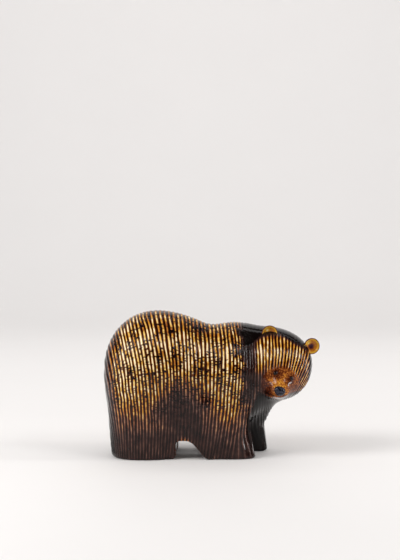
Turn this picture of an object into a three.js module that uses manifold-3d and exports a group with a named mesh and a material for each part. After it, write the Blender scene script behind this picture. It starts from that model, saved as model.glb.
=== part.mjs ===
// Ceramic figure of a standing bear, cast in one piece, with fur carved as upright lines.
// Millimetres. +X runs from the rump to the head, -Y is the side the bear looks to, +Z is up, feet on Z = 0.
import * as THREE from 'three';
import { mergeVertices } from 'three/addons/utils/BufferGeometryUtils.js';
import Module from 'manifold-3d';

// Where the middle of the figure's box lies in the frame that the places below are given in
const MIDDLE = [-0.66, -0.84];

// Masses of the body: centre and half sizes of each egg
const RUMP = { at: [-55, -1, 82], half: [44.4, 42, 50.4] };
const BACK = { at: [-27, 2, 67.5], half: [57, 40, 57.5] };
const SHOULDER = { at: [20, 1, 73.5], half: [35, 38, 47.5] };
const RUMP_BLEND = 24;
const SHOULDER_BLEND = 15;

// Legs and belly: upright blocks with rounded plan, their tops hidden in the body
const PLAN_POWER = 2.6;
const HIND = { at: [-61.8, -1], half: [31, 36], widen: [4.6, 4], top: 80, topBlend: 20, blend: 8 };
const BELLY = { at: [-16, 0], half: [36, 34.5], widen: [0, 4], top: 60, topBlend: 16, blend: 6 };
const NEAR_LEG = { at: [15.5, -17.5], half: [18, 14.5], flare: 8 };
const FAR_LEG = { at: [30, 18.5], half: [19, 15], flare: 3.5 };
const FORE = { widen: 4, skew: 0.08, top: 62, topBlend: 16, blend: 5 };
const TOE = { height: 22, round: 0.3 };
const WIDEN_HEIGHT = 60;
const WIDEN_POWER = 0.8;

// Chest, neck and throat: tapering rods with round ends, from one end to the other
const CHEST = { from: [30, 9, 64], to: [28, 10, 32], radius: [24.5, 15], blend: 5 };
const NECK = { from: [26, 2, 80], to: [50, 3, 86.5], radius: [37, 32], blend: 15 };
const THROAT = { from: [48, 3, 60], to: [43, 10, 39], radius: [14.5, 9], blend: 12 };

// Head: its own frame is turned to the viewer, bowed and tipped; places in it are [forward, sideways, up]
const HEAD_AT = [63, -6, 83];
const HEAD_TURN = 92;
const HEAD_BOW = 26;
const HEAD_TIP = 19;
const SKULL = { at: [0, -0.4, 1.2], half: [30, 29.2, 30.8], blend: 9 };
const SNOUT = { from: [8, 0, -4], to: [33.5, 0, -1.5], radius: [20, 9.5], blend: 13 };
const NOSE = { at: [41.4, -0.5, -0.4], half: [4.2, 4.6, 4.2] };
const EYE = { middle: -0.85, sideways: 7.3, up: 9.6, radius: 2.2, proud: 0.8 };
const EAR = { at: [-4, 0.7, 27.2], apart: 20.4, turnOut: 8, turnUp: 28 };
const CUP = { radius: 7.5, depth: 4.2, rim: 1.4, hollow: 2.4 };

// Openings between the feet: one across the figure and one along it
const ACROSS = { rear: -32, front: -5, slant: 0.75, height: 17.5, corner: 5, turn: 1.7 };
const ALONG = { at: -1, halfWidth: 8.5, height: 21 };
const CUTTER = { below: 10, halfWidth: 60, halfLength: 150 };
const FOOT_EDGE = 3;

// Carved lines of the fur: distance apart, depth, and where they run out
const LINE_PITCH = 3.07;
const LINE_DEPTH = 0.7;
const FOOT_FADE = [1, 6];
const FACE = { at: [30, 0, 0], half: [20, 15.5, 14.5], soft: 1.25 };

// Sheets that the carved lines lie in
const REAR_LEAN = { from: -35, over: 40, slope: 0.096, level: 60 };
const TAIL_LEAN = { from: -72, over: 30, most: 1.5, slope: 0.17 };
const RUMP_CURVE = { from: -18, over: 30, above: 75, bend: 0.0034 };
const SHOULDER_LEAN = { middle: 16, reach: 34, slope: 0.08, level: 30, above: 84, bend: 0.0042 };
const HEAD_FAN = { from: 42, over: 60, top: 96, drop: 50, round: 20, steepest: 0.55 };
const TOE_BEND = { from: 20, over: 13.5, most: 8, back: 36, backOver: 12, less: 4.5 };

// Frame inside each section that the rays of a ring go out from: by station, the sideways places of its
// lower and upper end, the least height of its lower end and a level between both ends
const SPINE = [
  { station: -95, lower: 0, upper: 0, low: 0, level: 40 },
  { station: 8, lower: 0, upper: 0, low: 0, level: 50 },
  { station: 24, lower: 0, upper: 0, low: 48, level: 56 },
  { station: 33, lower: 2, upper: 0, low: 48, level: 60 },
  { station: 40, lower: 12, upper: 3, low: 48, level: 62 },
  { station: 60, lower: -7, upper: -7, low: 62, level: 66 },
];
const INSET = { corner: 11, most: 0.3, least: 0.5, topHeight: 0.4, topWidth: 0.35 };

// Fineness of the faceted solid
const CORNER_RAYS = 4;
const CORNER_START = 0.6;
const UNDER_SHARE = 0.55;
const SIDE_RAYS = 3;
const TOP_RAYS = 5;
const END_ROUND = { rear: 14, cheek: 12 };
const REAR_SEARCH = [-130, -60];
const CHEEK_SEARCH = [140, 80];
const END_HALVINGS = 24;
const PROBE = { step: 5, halfWidth: 30, lowest: 10, highest: 120, finest: 0.01 };
const RAY_STEP = 3;
const RAY_LENGTH = 110;
const HALVINGS = 16;
const GROUND_SNAP = 0.01;
const NORMAL_STEP = 0.05;
const WELD = 1e-4;
const TINY = 1e-9;
const EAR_SIDES = 16;
const EAR_BACK_STEPS = 4;
const EAR_CUP_STEPS = 2;
const NOSE_SIDES = [12, 8];
const EYE_SIDES = [10, 8];
const ACROSS_CORNER_STEPS = 5;
const ALONG_ARCH_STEPS = 14;

const RAD = Math.PI / 180;
const UP = Math.PI / 2;
const DOWN = -Math.PI / 2;
const SIDES = [Math.PI, 0];
const WAYS = [-1, 1];
const clamp = THREE.MathUtils.clamp;
const smoothstep = THREE.MathUtils.smoothstep;
const lerp = THREE.MathUtils.lerp;

// Two depths joined with a rounded valley of the given size
function blend(a, b, size) {
  const near = Math.max(size - Math.abs(a - b), 0) / size;
  return Math.min(a, b) - near * near * size / 4;
}

// The common part of two depths, its edge rounded by the given size
function trim(a, b, size) {
  return -blend(-a, -b, size);
}

// Depth inside an egg: below zero inside, zero on its skin
function egg(p, { at, half }) {
  const q = p.map((v, i) => (v - at[i]) / half[i]);
  const reach = Math.hypot(...q);
  const slope = Math.hypot(...q.map((v, i) => v / half[i])) + TINY;
  return reach * (reach - 1) / slope;
}

// Upright block whose plan is a rounded rectangle
function block(x, y, halfX, halfY) {
  const reach = (Math.abs(x / halfX) ** PLAN_POWER + Math.abs(y / halfY) ** PLAN_POWER) ** (1 / PLAN_POWER);
  return (reach - 1) * Math.min(halfX, halfY);
}

// Rod between two balls, touching both: along its side the nearest ball lies back from the place by the taper
function rod(p, { from, to, radius }) {
  const axis = to.map((v, i) => v - from[i]);
  const rel = p.map((v, i) => v - from[i]);
  const length = Math.hypot(...axis);
  const along = rel.reduce((sum, v, i) => sum + v * axis[i], 0) / length;
  const away = Math.hypot(...rel.map((v, i) => v - along / length * axis[i]));
  const taper = (radius[0] - radius[1]) / length;
  const t = clamp((along - away * taper / Math.sqrt(1 - taper * taper)) / length, 0, 1);
  return Math.hypot(...rel.map((v, i) => v - t * axis[i])) - lerp(radius[0], radius[1], t);
}

// Head frame: forward, sideways (to the bear's left) and up
function headAxes() {
  const turn = HEAD_TURN * RAD;
  const bow = HEAD_BOW * RAD;
  const tip = HEAD_TIP * RAD;
  const forward = new THREE.Vector3(
    Math.cos(turn) * Math.cos(bow), -Math.sin(turn) * Math.cos(bow), -Math.sin(bow));
  const level = new THREE.Vector3(Math.sin(turn), Math.cos(turn), 0);
  const crown = new THREE.Vector3().crossVectors(level, forward).negate();
  crown.multiplyScalar(Math.sign(crown.z));
  const side = level.clone().multiplyScalar(Math.cos(tip)).addScaledVector(crown, -Math.sin(tip));
  const up = crown.clone().multiplyScalar(Math.cos(tip)).addScaledVector(level, Math.sin(tip));
  return [forward, side, up];
}
const HEAD_AXES = headAxes();

// Direction given in the head's frame, in the figure's frame
function headDirection(v) {
  return new THREE.Vector3()
    .addScaledVector(HEAD_AXES[0], v[0])
    .addScaledVector(HEAD_AXES[1], v[1])
    .addScaledVector(HEAD_AXES[2], v[2]);
}

function fromHead(v) {
  return headDirection(v).add(new THREE.Vector3(...HEAD_AT));
}

function intoHead(p) {
  const q = new THREE.Vector3(p[0] - HEAD_AT[0], p[1] - HEAD_AT[1], p[2] - HEAD_AT[2]);
  return HEAD_AXES.map((axis) => axis.dot(q));
}

function hindLegs(x, y, z) {
  const rise = clamp(z / WIDEN_HEIGHT, 0, 1);
  const halfX = HIND.half[0] + HIND.widen[0] * rise ** WIDEN_POWER;
  const halfY = HIND.half[1] + HIND.widen[1] * rise;
  return trim(block(x - HIND.at[0], y - HIND.at[1], halfX, halfY), z - HIND.top, HIND.topBlend);
}

function belly(x, y, z) {
  const halfY = BELLY.half[1] + BELLY.widen[1] * clamp(z / WIDEN_HEIGHT, 0, 1);
  return trim(block(x - BELLY.at[0], y, BELLY.half[0], halfY), z - BELLY.top, BELLY.topBlend);
}

// Share of the toes' flare at a height: all at the ground, none above the toes
function toeShare(z) {
  return -blend(z / TOE.height - 1, 0, TOE.round);
}

// One fore leg, its front carried ahead at the ground by the flare
function foreLeg(x, y, z, leg) {
  const sideways = y - leg.at[1];
  const flare = leg.flare / 2 * toeShare(z);
  const ahead = x - leg.at[0] - FORE.skew * sideways - flare;
  const halfY = leg.half[1] + FORE.widen * clamp(z / WIDEN_HEIGHT, 0, 1);
  return trim(block(ahead, sideways, leg.half[0] + flare, halfY), z - FORE.top, FORE.topBlend);
}

// Depth below the skin of the figure before the openings are cut: negative inside
function skin(x, y, z) {
  const p = [x, y, z];
  let d = blend(egg(p, RUMP), egg(p, BACK), RUMP_BLEND);
  d = blend(d, egg(p, SHOULDER), SHOULDER_BLEND);
  d = blend(d, hindLegs(x, y, z), HIND.blend);
  d = blend(d, belly(x, y, z), BELLY.blend);
  d = blend(d, foreLeg(x, y, z, NEAR_LEG), FORE.blend);
  d = blend(d, foreLeg(x, y, z, FAR_LEG), FORE.blend);
  d = blend(d, rod(p, CHEST), CHEST.blend);
  d = blend(d, rod(p, NECK), NECK.blend);
  const h = intoHead(p);
  d = blend(d, egg(h, SKULL), SKULL.blend);
  d = blend(d, rod(h, SNOUT), SNOUT.blend);
  d = blend(d, rod(p, THROAT), THROAT.blend);
  return trim(d, -z, FOOT_EDGE);
}

// X of the sheet that starts at the given station, where it passes over (y, z)
function sheetX(station, y, z) {
  const rear = clamp((REAR_LEAN.from - station) / REAR_LEAN.over, 0, 1) * REAR_LEAN.slope;
  const tail = clamp((TAIL_LEAN.from - station) / TAIL_LEAN.over, 0, TAIL_LEAN.most) ** 2 * TAIL_LEAN.slope;
  let x = station - (rear + tail) * (z - REAR_LEAN.level);
  const rump = smoothstep(RUMP_CURVE.from - station, 0, RUMP_CURVE.over);
  x -= rump * RUMP_CURVE.bend / 2 * Math.max(z - RUMP_CURVE.above, 0) ** 2;
  const near = 1 - smoothstep(Math.abs(station - SHOULDER_LEAN.middle), 0, SHOULDER_LEAN.reach);
  const lean = SHOULDER_LEAN.slope * (z - SHOULDER_LEAN.level);
  x += near * (lean - SHOULDER_LEAN.bend / 2 * Math.max(z - SHOULDER_LEAN.above, 0) ** 2);
  x += smoothstep(station - HEAD_FAN.from, 0, HEAD_FAN.over) * fanShift(z);
  const nearToe = smoothstep(station - TOE_BEND.from, 0, TOE_BEND.over) * TOE_BEND.most;
  const farToe = smoothstep(station - TOE_BEND.back, 0, TOE_BEND.backOver) * TOE_BEND.less;
  return x + (nearToe - farToe) * toeShare(z);
}

// How far the head's lines have swung back towards the chest at a height: upright on the crown, then leaning
function fanShift(z) {
  const below = -blend(z - HEAD_FAN.top, 0, HEAD_FAN.round);
  return -HEAD_FAN.steepest * blend(below, HEAD_FAN.drop, HEAD_FAN.round);
}

function depthInSheet(station, y, z) {
  return skin(sheetX(station, y, z), y, z);
}

// The deepest place of the section that one sheet cuts from the figure: a coarse grid, then smaller steps
function deepest(station) {
  let best = { y: 0, z: 0, depth: Infinity };
  const probe = (y, z) => {
    const depth = depthInSheet(station, y, z);
    if (depth < best.depth) best = { y, z, depth };
  };
  const { step, halfWidth, lowest, highest, finest } = PROBE;
  for (let z = lowest; z <= highest; z += step) {
    for (let y = -halfWidth; y <= halfWidth; y += step) probe(y, z);
  }
  for (let size = step / 2; size > finest; size /= 2) {
    for (const [dy, dz] of [[size, 0], [-size, 0], [0, size], [0, -size]]) probe(best.y + dy, best.z + dz);
  }
  return best;
}

// The end of the figure where the sheets just touch it, between a station that misses it and one that cuts it
function touchingEnd([outside, inside]) {
  let [missing, cutting] = [outside, inside];
  for (let i = 0; i < END_HALVINGS; i += 1) {
    const middle = (missing + cutting) / 2;
    if (deepest(middle).depth < 0) cutting = middle;
    else missing = middle;
  }
  const { y, z } = deepest(cutting);
  return { station: cutting, lower: y, upper: y, low: Math.min(z, SPINE.at(-1).low), level: z };
}

// Distance at which a test first turns true, found by steps and then by halving
function crossing(beyond) {
  let inside = 0;
  while (inside < RAY_LENGTH && !beyond(inside + RAY_STEP)) inside += RAY_STEP;
  let outside = inside + RAY_STEP;
  for (let i = 0; i < HALVINGS; i += 1) {
    const middle = (inside + outside) / 2;
    if (beyond(middle)) outside = middle;
    else inside = middle;
  }
  return inside;
}

// How far the section reaches from a place inside it along a direction in the sheet
function reach(station, y, z, turn) {
  return crossing((r) => depthInSheet(station, y + r * Math.cos(turn), z + r * Math.sin(turn)) > 0);
}

// Place of the frame at a station, eased from one entry of the spine to the next
function spineAt(station, spine) {
  const next = clamp(spine.findIndex((entry) => entry.station > station), 1, spine.length - 1);
  const [a, b] = [spine[next - 1], spine[next]];
  const share = smoothstep(station, a.station, b.station);
  return ['lower', 'upper', 'low', 'level'].map((key) => lerp(a[key], b[key], share));
}

// Frame inside the section of a station: sideways places, heights and half widths of its lower and upper end.
// The lower corners reach down into the legs, the middle of the lower end stays above the gap between them.
function sectionFrame(station, spine) {
  const [lower, upper, least, level] = spineAt(station, spine);
  const top = level + reach(station, upper, level, UP);
  const bottom = level - reach(station, lower, level, DOWN);
  const inset = Math.min(INSET.corner, INSET.most * (top - bottom));
  const low = Math.max(bottom + inset, Math.min(least, level));
  const high = lerp(level, top, INSET.topHeight);
  const lowHalf = SIDES.map((turn) => {
    const width = reach(station, lower, low, turn);
    return Math.max(width - inset, INSET.least * width);
  });
  const corner = SIDES.map((turn, side) => {
    const depth = reach(station, lower + WAYS[side] * lowHalf[side], low, DOWN);
    return low - Math.max(depth - inset, 0);
  });
  const highHalf = SIDES.map((turn) => INSET.topWidth * reach(station, upper, high, turn));
  return { lower, upper, low, high, corner, lowHalf, highHalf };
}

// Starts and directions of the rays of half a ring, from the middle of the underside to the middle of the
// back: share of the half width, share of the height between the two ends of the frame, direction in degrees
function halfRays() {
  const rays = [[0, 0, -90], [UNDER_SHARE, 0, -90]];
  for (let i = 0; i < CORNER_RAYS; i += 1) rays.push([1, 0, -90 + 90 * (i + CORNER_START) / CORNER_RAYS]);
  for (let i = 1; i <= SIDE_RAYS; i += 1) rays.push([1, i / (SIDE_RAYS + 1), 0]);
  for (let i = 0; i <= TOP_RAYS; i += 1) rays.push([1 - i / TOP_RAYS, 1, 90 * i / TOP_RAYS]);
  return rays;
}

// Rays of a whole ring in order round it; side 1 is the far half and side 0 the near half
function ringRays() {
  const half = halfRays();
  const far = half.map((ray) => [1, ...ray]);
  const near = half.slice(1, -1).reverse().map((ray) => [0, ...ray]);
  return [...far, ...near];
}

// One point of a ring: a ray goes out in the sheet to the skin, then the point sinks by the given depth
function ringPoint(station, frame, [side, share, rise, degrees], carved) {
  const half = lerp(frame.lowHalf[side], frame.highHalf[side], rise);
  const y = lerp(frame.lower, frame.upper, rise) + WAYS[side] * share * half;
  const z = lerp(lerp(frame.low, frame.corner[side], share), frame.high, rise);
  const turn = side === 1 ? degrees * RAD : Math.PI - degrees * RAD;
  const r = reach(station, y, z, turn);
  const [atY, atZ] = [y + r * Math.cos(turn), z + r * Math.sin(turn)];
  const place = [sheetX(station, atY, atZ), atY, atZ];
  if (Math.abs(atZ) < GROUND_SNAP) return [place[0], atY, 0];
  const depth = carved * lineDepth(place);
  return place.map((v, i) => v - depth * outward(place)[i]);
}

// Direction straight out of the skin at a place
function outward(place) {
  const slope = [0, 1, 2].map((axis) => {
    const ahead = place.map((v, i) => v + (i === axis ? NORMAL_STEP : 0));
    const behind = place.map((v, i) => v - (i === axis ? NORMAL_STEP : 0));
    return skin(...ahead) - skin(...behind);
  });
  const size = Math.hypot(...slope);
  return slope.map((v) => v / size);
}

// Length that the carved lines are spread over: along the flanks and round a quarter at either end
function lineLength({ rear, cheek }) {
  return cheek.station - rear.station + (END_ROUND.rear + END_ROUND.cheek) * (Math.PI / 2 - 1);
}

// Station of a carved ring: evenly apart on the flanks, closer together where both ends round away
function ringStation(share, ends) {
  const { rear, cheek } = ends;
  const quarter = Math.PI / 2;
  const along = share * lineLength(ends);
  if (along < END_ROUND.rear * quarter) {
    return rear.station + END_ROUND.rear * (1 - Math.cos(along / END_ROUND.rear));
  }
  const left = lineLength(ends) - along;
  if (left < END_ROUND.cheek * quarter) {
    return cheek.station - END_ROUND.cheek * (1 - Math.cos(left / END_ROUND.cheek));
  }
  return rear.station + END_ROUND.rear + along - END_ROUND.rear * quarter;
}

// How deep a carved line is cut at a place: it runs out at the ground and on the smooth face
function lineDepth(place) {
  const h = intoHead(place);
  const off = [h[0] - FACE.at[0], h[1] - FACE.at[1], h[2] - FACE.at[2]];
  const face = smoothstep(Math.hypot(...off.map((v, i) => v / FACE.half[i])), 1, FACE.soft);
  return LINE_DEPTH * smoothstep(place[2], FOOT_FADE[0], FOOT_FADE[1]) * face;
}

// Closed mesh of the figure: rings in sheets, ridge and groove in turn, closed by a point at either end
function furRings() {
  const ends = { rear: touchingEnd(REAR_SEARCH), cheek: touchingEnd(CHEEK_SEARCH) };
  const spine = [ends.rear, ...SPINE, ends.cheek];
  const lines = Math.round(lineLength(ends) / LINE_PITCH);
  const rays = ringRays();
  const around = rays.length;
  const points = [];
  const faces = [];
  const count = 2 * lines - 1;
  for (let ring = 1; ring <= count; ring += 1) {
    const station = ringStation(ring / (count + 1), ends);
    const frame = sectionFrame(station, spine);
    const carved = ring % 2 === 0 ? 1 : 0;
    for (const ray of rays) points.push(...ringPoint(station, frame, ray, carved));
  }
  const index = (ring, k) => ring * around + k % around;
  for (let ring = 0; ring + 1 < count; ring += 1) {
    for (let k = 0; k < around; k += 1) {
      const [a, b] = [index(ring, k), index(ring, k + 1)];
      const [c, d] = [index(ring + 1, k + 1), index(ring + 1, k)];
      faces.push(a, c, d, a, b, c);
    }
  }
  const rearPoint = points.length / 3;
  for (const { station, upper, level } of [ends.rear, ends.cheek]) {
    points.push(sheetX(station, upper, level), upper, level);
  }
  for (let k = 0; k < around; k += 1) {
    faces.push(rearPoint, index(0, k + 1), index(0, k));
    faces.push(rearPoint + 1, index(count - 1, k), index(count - 1, k + 1));
  }
  const geometry = new THREE.BufferGeometry();
  geometry.setAttribute('position', new THREE.Float32BufferAttribute(points, 3));
  geometry.setIndex(faces);
  return geometry;
}

// Ear: a shallow cup turned round its axis, which points along +Y, with a rounded back and a rounded rim
function earGeometry() {
  const { radius, depth, rim, hollow } = CUP;
  const profile = [];
  for (let i = 0; i <= EAR_BACK_STEPS; i += 1) {
    const angle = i / EAR_BACK_STEPS * Math.PI / 2;
    profile.push(new THREE.Vector2(radius * Math.sin(angle), -depth * Math.cos(angle)));
  }
  profile.push(new THREE.Vector2(radius - rim / 2, rim / 2));
  for (let i = 0; i <= EAR_CUP_STEPS; i += 1) {
    const angle = (1 - i / EAR_CUP_STEPS) * Math.PI / 2;
    profile.push(new THREE.Vector2((radius - rim) * Math.sin(angle), -hollow * Math.cos(angle)));
  }
  return new THREE.LatheGeometry(profile, EAR_SIDES);
}

// Turns a geometry built along +Y so that it points along a direction of the head, and moves it to its place
function placeOnHead(geometry, at, direction) {
  const toward = headDirection(direction).normalize();
  geometry.applyQuaternion(new THREE.Quaternion().setFromUnitVectors(new THREE.Vector3(0, 1, 0), toward));
  return geometry.translate(...fromHead(at).toArray());
}

function ear(side) {
  const [forward, sideways, up] = EAR.at;
  const facing = [1, side * Math.tan(EAR.turnOut * RAD), Math.tan(EAR.turnUp * RAD)];
  return placeOnHead(earGeometry(), [forward, sideways + side * EAR.apart, up], facing);
}

function nose() {
  const ball = new THREE.SphereGeometry(1, ...NOSE_SIDES);
  const [forward, sideways, up] = NOSE.half;
  ball.scale(sideways, forward, up);
  return placeOnHead(ball, NOSE.at, [1, 0, 0]);
}

// How far ahead of the head's middle the skin lies at a place on the face
function faceAhead(sideways, up) {
  return crossing((forward) => skin(...fromHead([forward, sideways, up]).toArray()) > 0);
}

function eye(side) {
  const ball = new THREE.SphereGeometry(EYE.radius, ...EYE_SIDES);
  const sideways = EYE.middle + side * EYE.sideways;
  const forward = faceAhead(sideways, EYE.up) + EYE.proud - EYE.radius;
  return placeOnHead(ball, [forward, sideways, EYE.up], [1, 0, 0]);
}

// Opening across the figure: upright at the hind feet, slanting at the fore feet, with rounded top corners
function acrossCutter() {
  const { rear, front, slant, height, corner, turn } = ACROSS;
  const shape = new THREE.Shape();
  shape.moveTo(rear, -CUTTER.below);
  shape.lineTo(rear, height - corner);
  shape.quadraticCurveTo(rear, height, rear + corner, height);
  const top = front - slant * height;
  shape.lineTo(top - corner, height);
  shape.quadraticCurveTo(top, height, top + slant * corner, height - corner);
  shape.lineTo(front, 0);
  shape.lineTo(front, -CUTTER.below);
  const options = { depth: 2 * CUTTER.halfWidth, bevelEnabled: false, curveSegments: ACROSS_CORNER_STEPS };
  const geometry = new THREE.ExtrudeGeometry(shape, options);
  geometry.rotateX(Math.PI / 2);
  geometry.translate(0, CUTTER.halfWidth, 0);
  return geometry.rotateZ(-turn * RAD);
}

// Opening along the figure: a rounded arch between the left and the right feet
function alongCutter() {
  const { at, halfWidth, height } = ALONG;
  const shape = new THREE.Shape();
  shape.moveTo(-halfWidth, -CUTTER.below);
  shape.lineTo(halfWidth, -CUTTER.below);
  shape.lineTo(halfWidth, 0);
  shape.absellipse(0, 0, halfWidth, height, 0, Math.PI, false);
  const options = { depth: 2 * CUTTER.halfLength, bevelEnabled: false, curveSegments: ALONG_ARCH_STEPS };
  const geometry = new THREE.ExtrudeGeometry(shape, options);
  geometry.rotateX(Math.PI / 2);
  geometry.rotateZ(Math.PI / 2);
  return geometry.translate(-CUTTER.halfLength, at, 0);
}

const wasm = await Module();
wasm.setup();

// Closed mesh as a solid that can be joined and cut
function toSolid(geometry) {
  geometry.deleteAttribute('normal');
  geometry.deleteAttribute('uv');
  const welded = mergeVertices(geometry, WELD);
  const vertProperties = new Float32Array(welded.attributes.position.array);
  const triVerts = new Uint32Array(welded.index.array);
  return new wasm.Manifold(new wasm.Mesh({ numProp: 3, vertProperties, triVerts }));
}

function toGeometry(solid) {
  const mesh = solid.getMesh();
  const geometry = new THREE.BufferGeometry();
  geometry.setAttribute('position', new THREE.BufferAttribute(new Float32Array(mesh.vertProperties), 3));
  geometry.setIndex(new THREE.BufferAttribute(new Uint32Array(mesh.triVerts), 1));
  return geometry;
}

function bear() {
  let solid = toSolid(furRings());
  solid = solid.subtract(toSolid(acrossCutter())).subtract(toSolid(alongCutter()));
  for (const side of [-1, 1]) solid = solid.add(toSolid(ear(side))).add(toSolid(eye(side)));
  solid = solid.add(toSolid(nose()));
  const glaze = new THREE.MeshStandardMaterial({ color: 0x8a5a24, roughness: 0.25, metalness: 0 });
  const mesh = new THREE.Mesh(toGeometry(solid).translate(-MIDDLE[0], -MIDDLE[1], 0), glaze);
  mesh.name = 'bear';
  return mesh;
}

const part = new THREE.Group();
part.name = 'ceramic_bear';
part.add(bear());

export default part;
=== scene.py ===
"""Ceramic bear, cast in one piece with its fur carved as upright lines, under a glossy honey-brown glaze."""

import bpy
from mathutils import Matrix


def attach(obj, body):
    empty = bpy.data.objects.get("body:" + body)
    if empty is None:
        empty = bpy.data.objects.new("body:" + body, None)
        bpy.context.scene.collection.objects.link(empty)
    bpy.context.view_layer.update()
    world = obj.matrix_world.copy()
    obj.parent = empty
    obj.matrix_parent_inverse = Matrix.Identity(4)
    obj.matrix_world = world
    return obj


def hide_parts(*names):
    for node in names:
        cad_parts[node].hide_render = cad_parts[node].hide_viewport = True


bl_info = {
    "name": "Carved Ceramic Bear",
    "version": (1, 0, 0),
    "blender": (4, 5, 0),
    "location": "3D View > Sidebar > Bear",
    "description": "Makes a glazed ceramic bear with carved fur lines, and a plain studio round it",
    "category": "Add Mesh",
}

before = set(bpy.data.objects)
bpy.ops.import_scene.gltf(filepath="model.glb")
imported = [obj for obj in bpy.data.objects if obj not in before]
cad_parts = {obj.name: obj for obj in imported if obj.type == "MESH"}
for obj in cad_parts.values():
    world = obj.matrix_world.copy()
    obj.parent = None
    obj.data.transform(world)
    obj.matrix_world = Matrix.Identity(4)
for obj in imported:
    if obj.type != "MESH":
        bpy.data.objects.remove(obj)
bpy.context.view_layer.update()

import math

import bpy
import numpy as np

# The figure's form is given in millimetres in a frame of its own: +X from rump to head, -Y to the side the
# bear looks to, +Z up. MIDDLE is where the middle of the figure's box lies in it.
MM = 0.001
MIDDLE = (-0.66, -0.84)

# Masses of the body: centre and half sizes of each egg
RUMP = dict(at=(-55, -1, 82), half=(44.4, 42, 50.4))
BACK = dict(at=(-27, 2, 67.5), half=(57, 40, 57.5))
SHOULDER = dict(at=(20, 1, 73.5), half=(35, 38, 47.5))
RUMP_BLEND = 24
SHOULDER_BLEND = 15

# Legs and belly: upright blocks with rounded plan, their tops hidden in the body
PLAN_POWER = 2.6
HIND = dict(at=(-61.8, -1), half=(31, 36), widen=(4.6, 4), top=80, top_blend=20, blend=8)
BELLY = dict(at=(-16, 0), half=(36, 34.5), widen=(0, 4), top=60, top_blend=16, blend=6)
NEAR_LEG = dict(at=(15.5, -17.5), half=(18, 14.5), flare=8)
FAR_LEG = dict(at=(30, 18.5), half=(19, 15), flare=3.5)
FORE = dict(widen=4, skew=0.08, top=62, top_blend=16, blend=5)
TOE = dict(height=22, round=0.3)
WIDEN_HEIGHT = 60
WIDEN_POWER = 0.8

# Chest, neck and throat: tapering rods with round ends
CHEST = dict(start=(30, 9, 64), end=(28, 10, 32), radius=(24.5, 15))
NECK = dict(start=(26, 2, 80), end=(50, 3, 86.5), radius=(37, 32))
THROAT = dict(start=(48, 3, 60), end=(43, 10, 39), radius=(14.5, 9))
CHEST_BLEND = 5
NECK_BLEND = 15
THROAT_BLEND = 12

# Head: its own frame is turned to the viewer, bowed and tipped; places in it are (forward, sideways, up)
HEAD_AT = (63, -6, 83)
HEAD_TURN, HEAD_BOW, HEAD_TIP = 92, 26, 19
SKULL = dict(at=(0, -0.4, 1.2), half=(30, 29.2, 30.8))
SNOUT = dict(start=(8, 0, -4), end=(33.5, 0, -1.5), radius=(20, 9.5))
SKULL_BLEND = 9
SNOUT_BLEND = 13
NOSE = dict(at=(41.2, -0.8, -0.4), half=(4.4, 5.2, 4.6), taper=0.12)
EYE = dict(middle=-0.85, sideways=7.3, up=9.6, radius=2.2, proud=0.8)
EAR = dict(at=(-4, 0.7, 27.2), apart=20.4, turn_out=8, turn_up=28)
CUP = dict(radius=7.5, depth=4.2, rim=1.4, hollow=2.4)

# Openings between the feet: one across the figure and one along it
ACROSS = dict(rear=-32, front=-5, slant=0.75, height=17.5, corner=5, turn=1.7)
ALONG = dict(at=-1, half_width=8.5, height=21)
CUTTER = dict(below=10, half_width=60, half_length=150, pitch=1.6, corner_points=7, arch_points=41)
FOOT_EDGE = 3
OPENING_EDGE = 4

# Carved lines: distance apart; half width of the groove's floor and start of the ridge's top, as shares of
# it; how far they wander; how the hand bent them on the body; where they run out; and the level line that
# the way along them is measured round
LINE_PITCH = 3.07
GROOVE = dict(floor=0.1, ridge=0.45)
WANDER = dict(lines=0.17, across=1.1, along=11, lattice=64, seed=7)
HAND_BEND = dict(level=60, bend=0.0018, start=32, end=52)
FOOT_FADE = (1, 6)
FACE = dict(at=(30, 0, 0), half=(20, 15.5, 14.5), soft=1.25)
OPENING_FADE = (0.2, 1.5)
GIRTH = dict(level=55, radius=50)

# Curved sheets that the carved lines lie in
REAR_LEAN = dict(start=-35, over=40, slope=0.096, level=60)
TAIL_LEAN = dict(start=-72, over=30, most=1.5, slope=0.17)
RUMP_CURVE = dict(start=-18, over=30, above=75, bend=0.0034)
SHOULDER_LEAN = dict(middle=16, reach=34, slope=0.08, level=30, above=84, bend=0.0042)
HEAD_FAN = dict(start=42, over=60, top=96, drop=50, round=20, steepest=0.55)
TOE_BEND = dict(start=20, over=13.5, most=8, back=36, back_over=12, less=4.5)

# Frame inside each section that the rays of a ring go out from: station, sideways places of its lower and
# upper end, the least height of its lower end, and a level between both ends
SPINE = (
    (-95, 0, 0, 0, 40), (8, 0, 0, 0, 50), (24, 0, 0, 48, 56),
    (33, 2, 0, 48, 60), (40, 12, 3, 48, 62), (60, -7, -7, 62, 66),
)
INSET = dict(corner=11, most=0.3, least=0.5, top_height=0.4, top_width=0.35)
END_ROUND = (14, 12)
END_GRID = dict(side=30, top=120, step=1.0)
REAR_SEARCH = (-130, -60)
CHEEK_SEARCH = (140, 80)
FACE_SEARCH = (0, 60)

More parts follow.
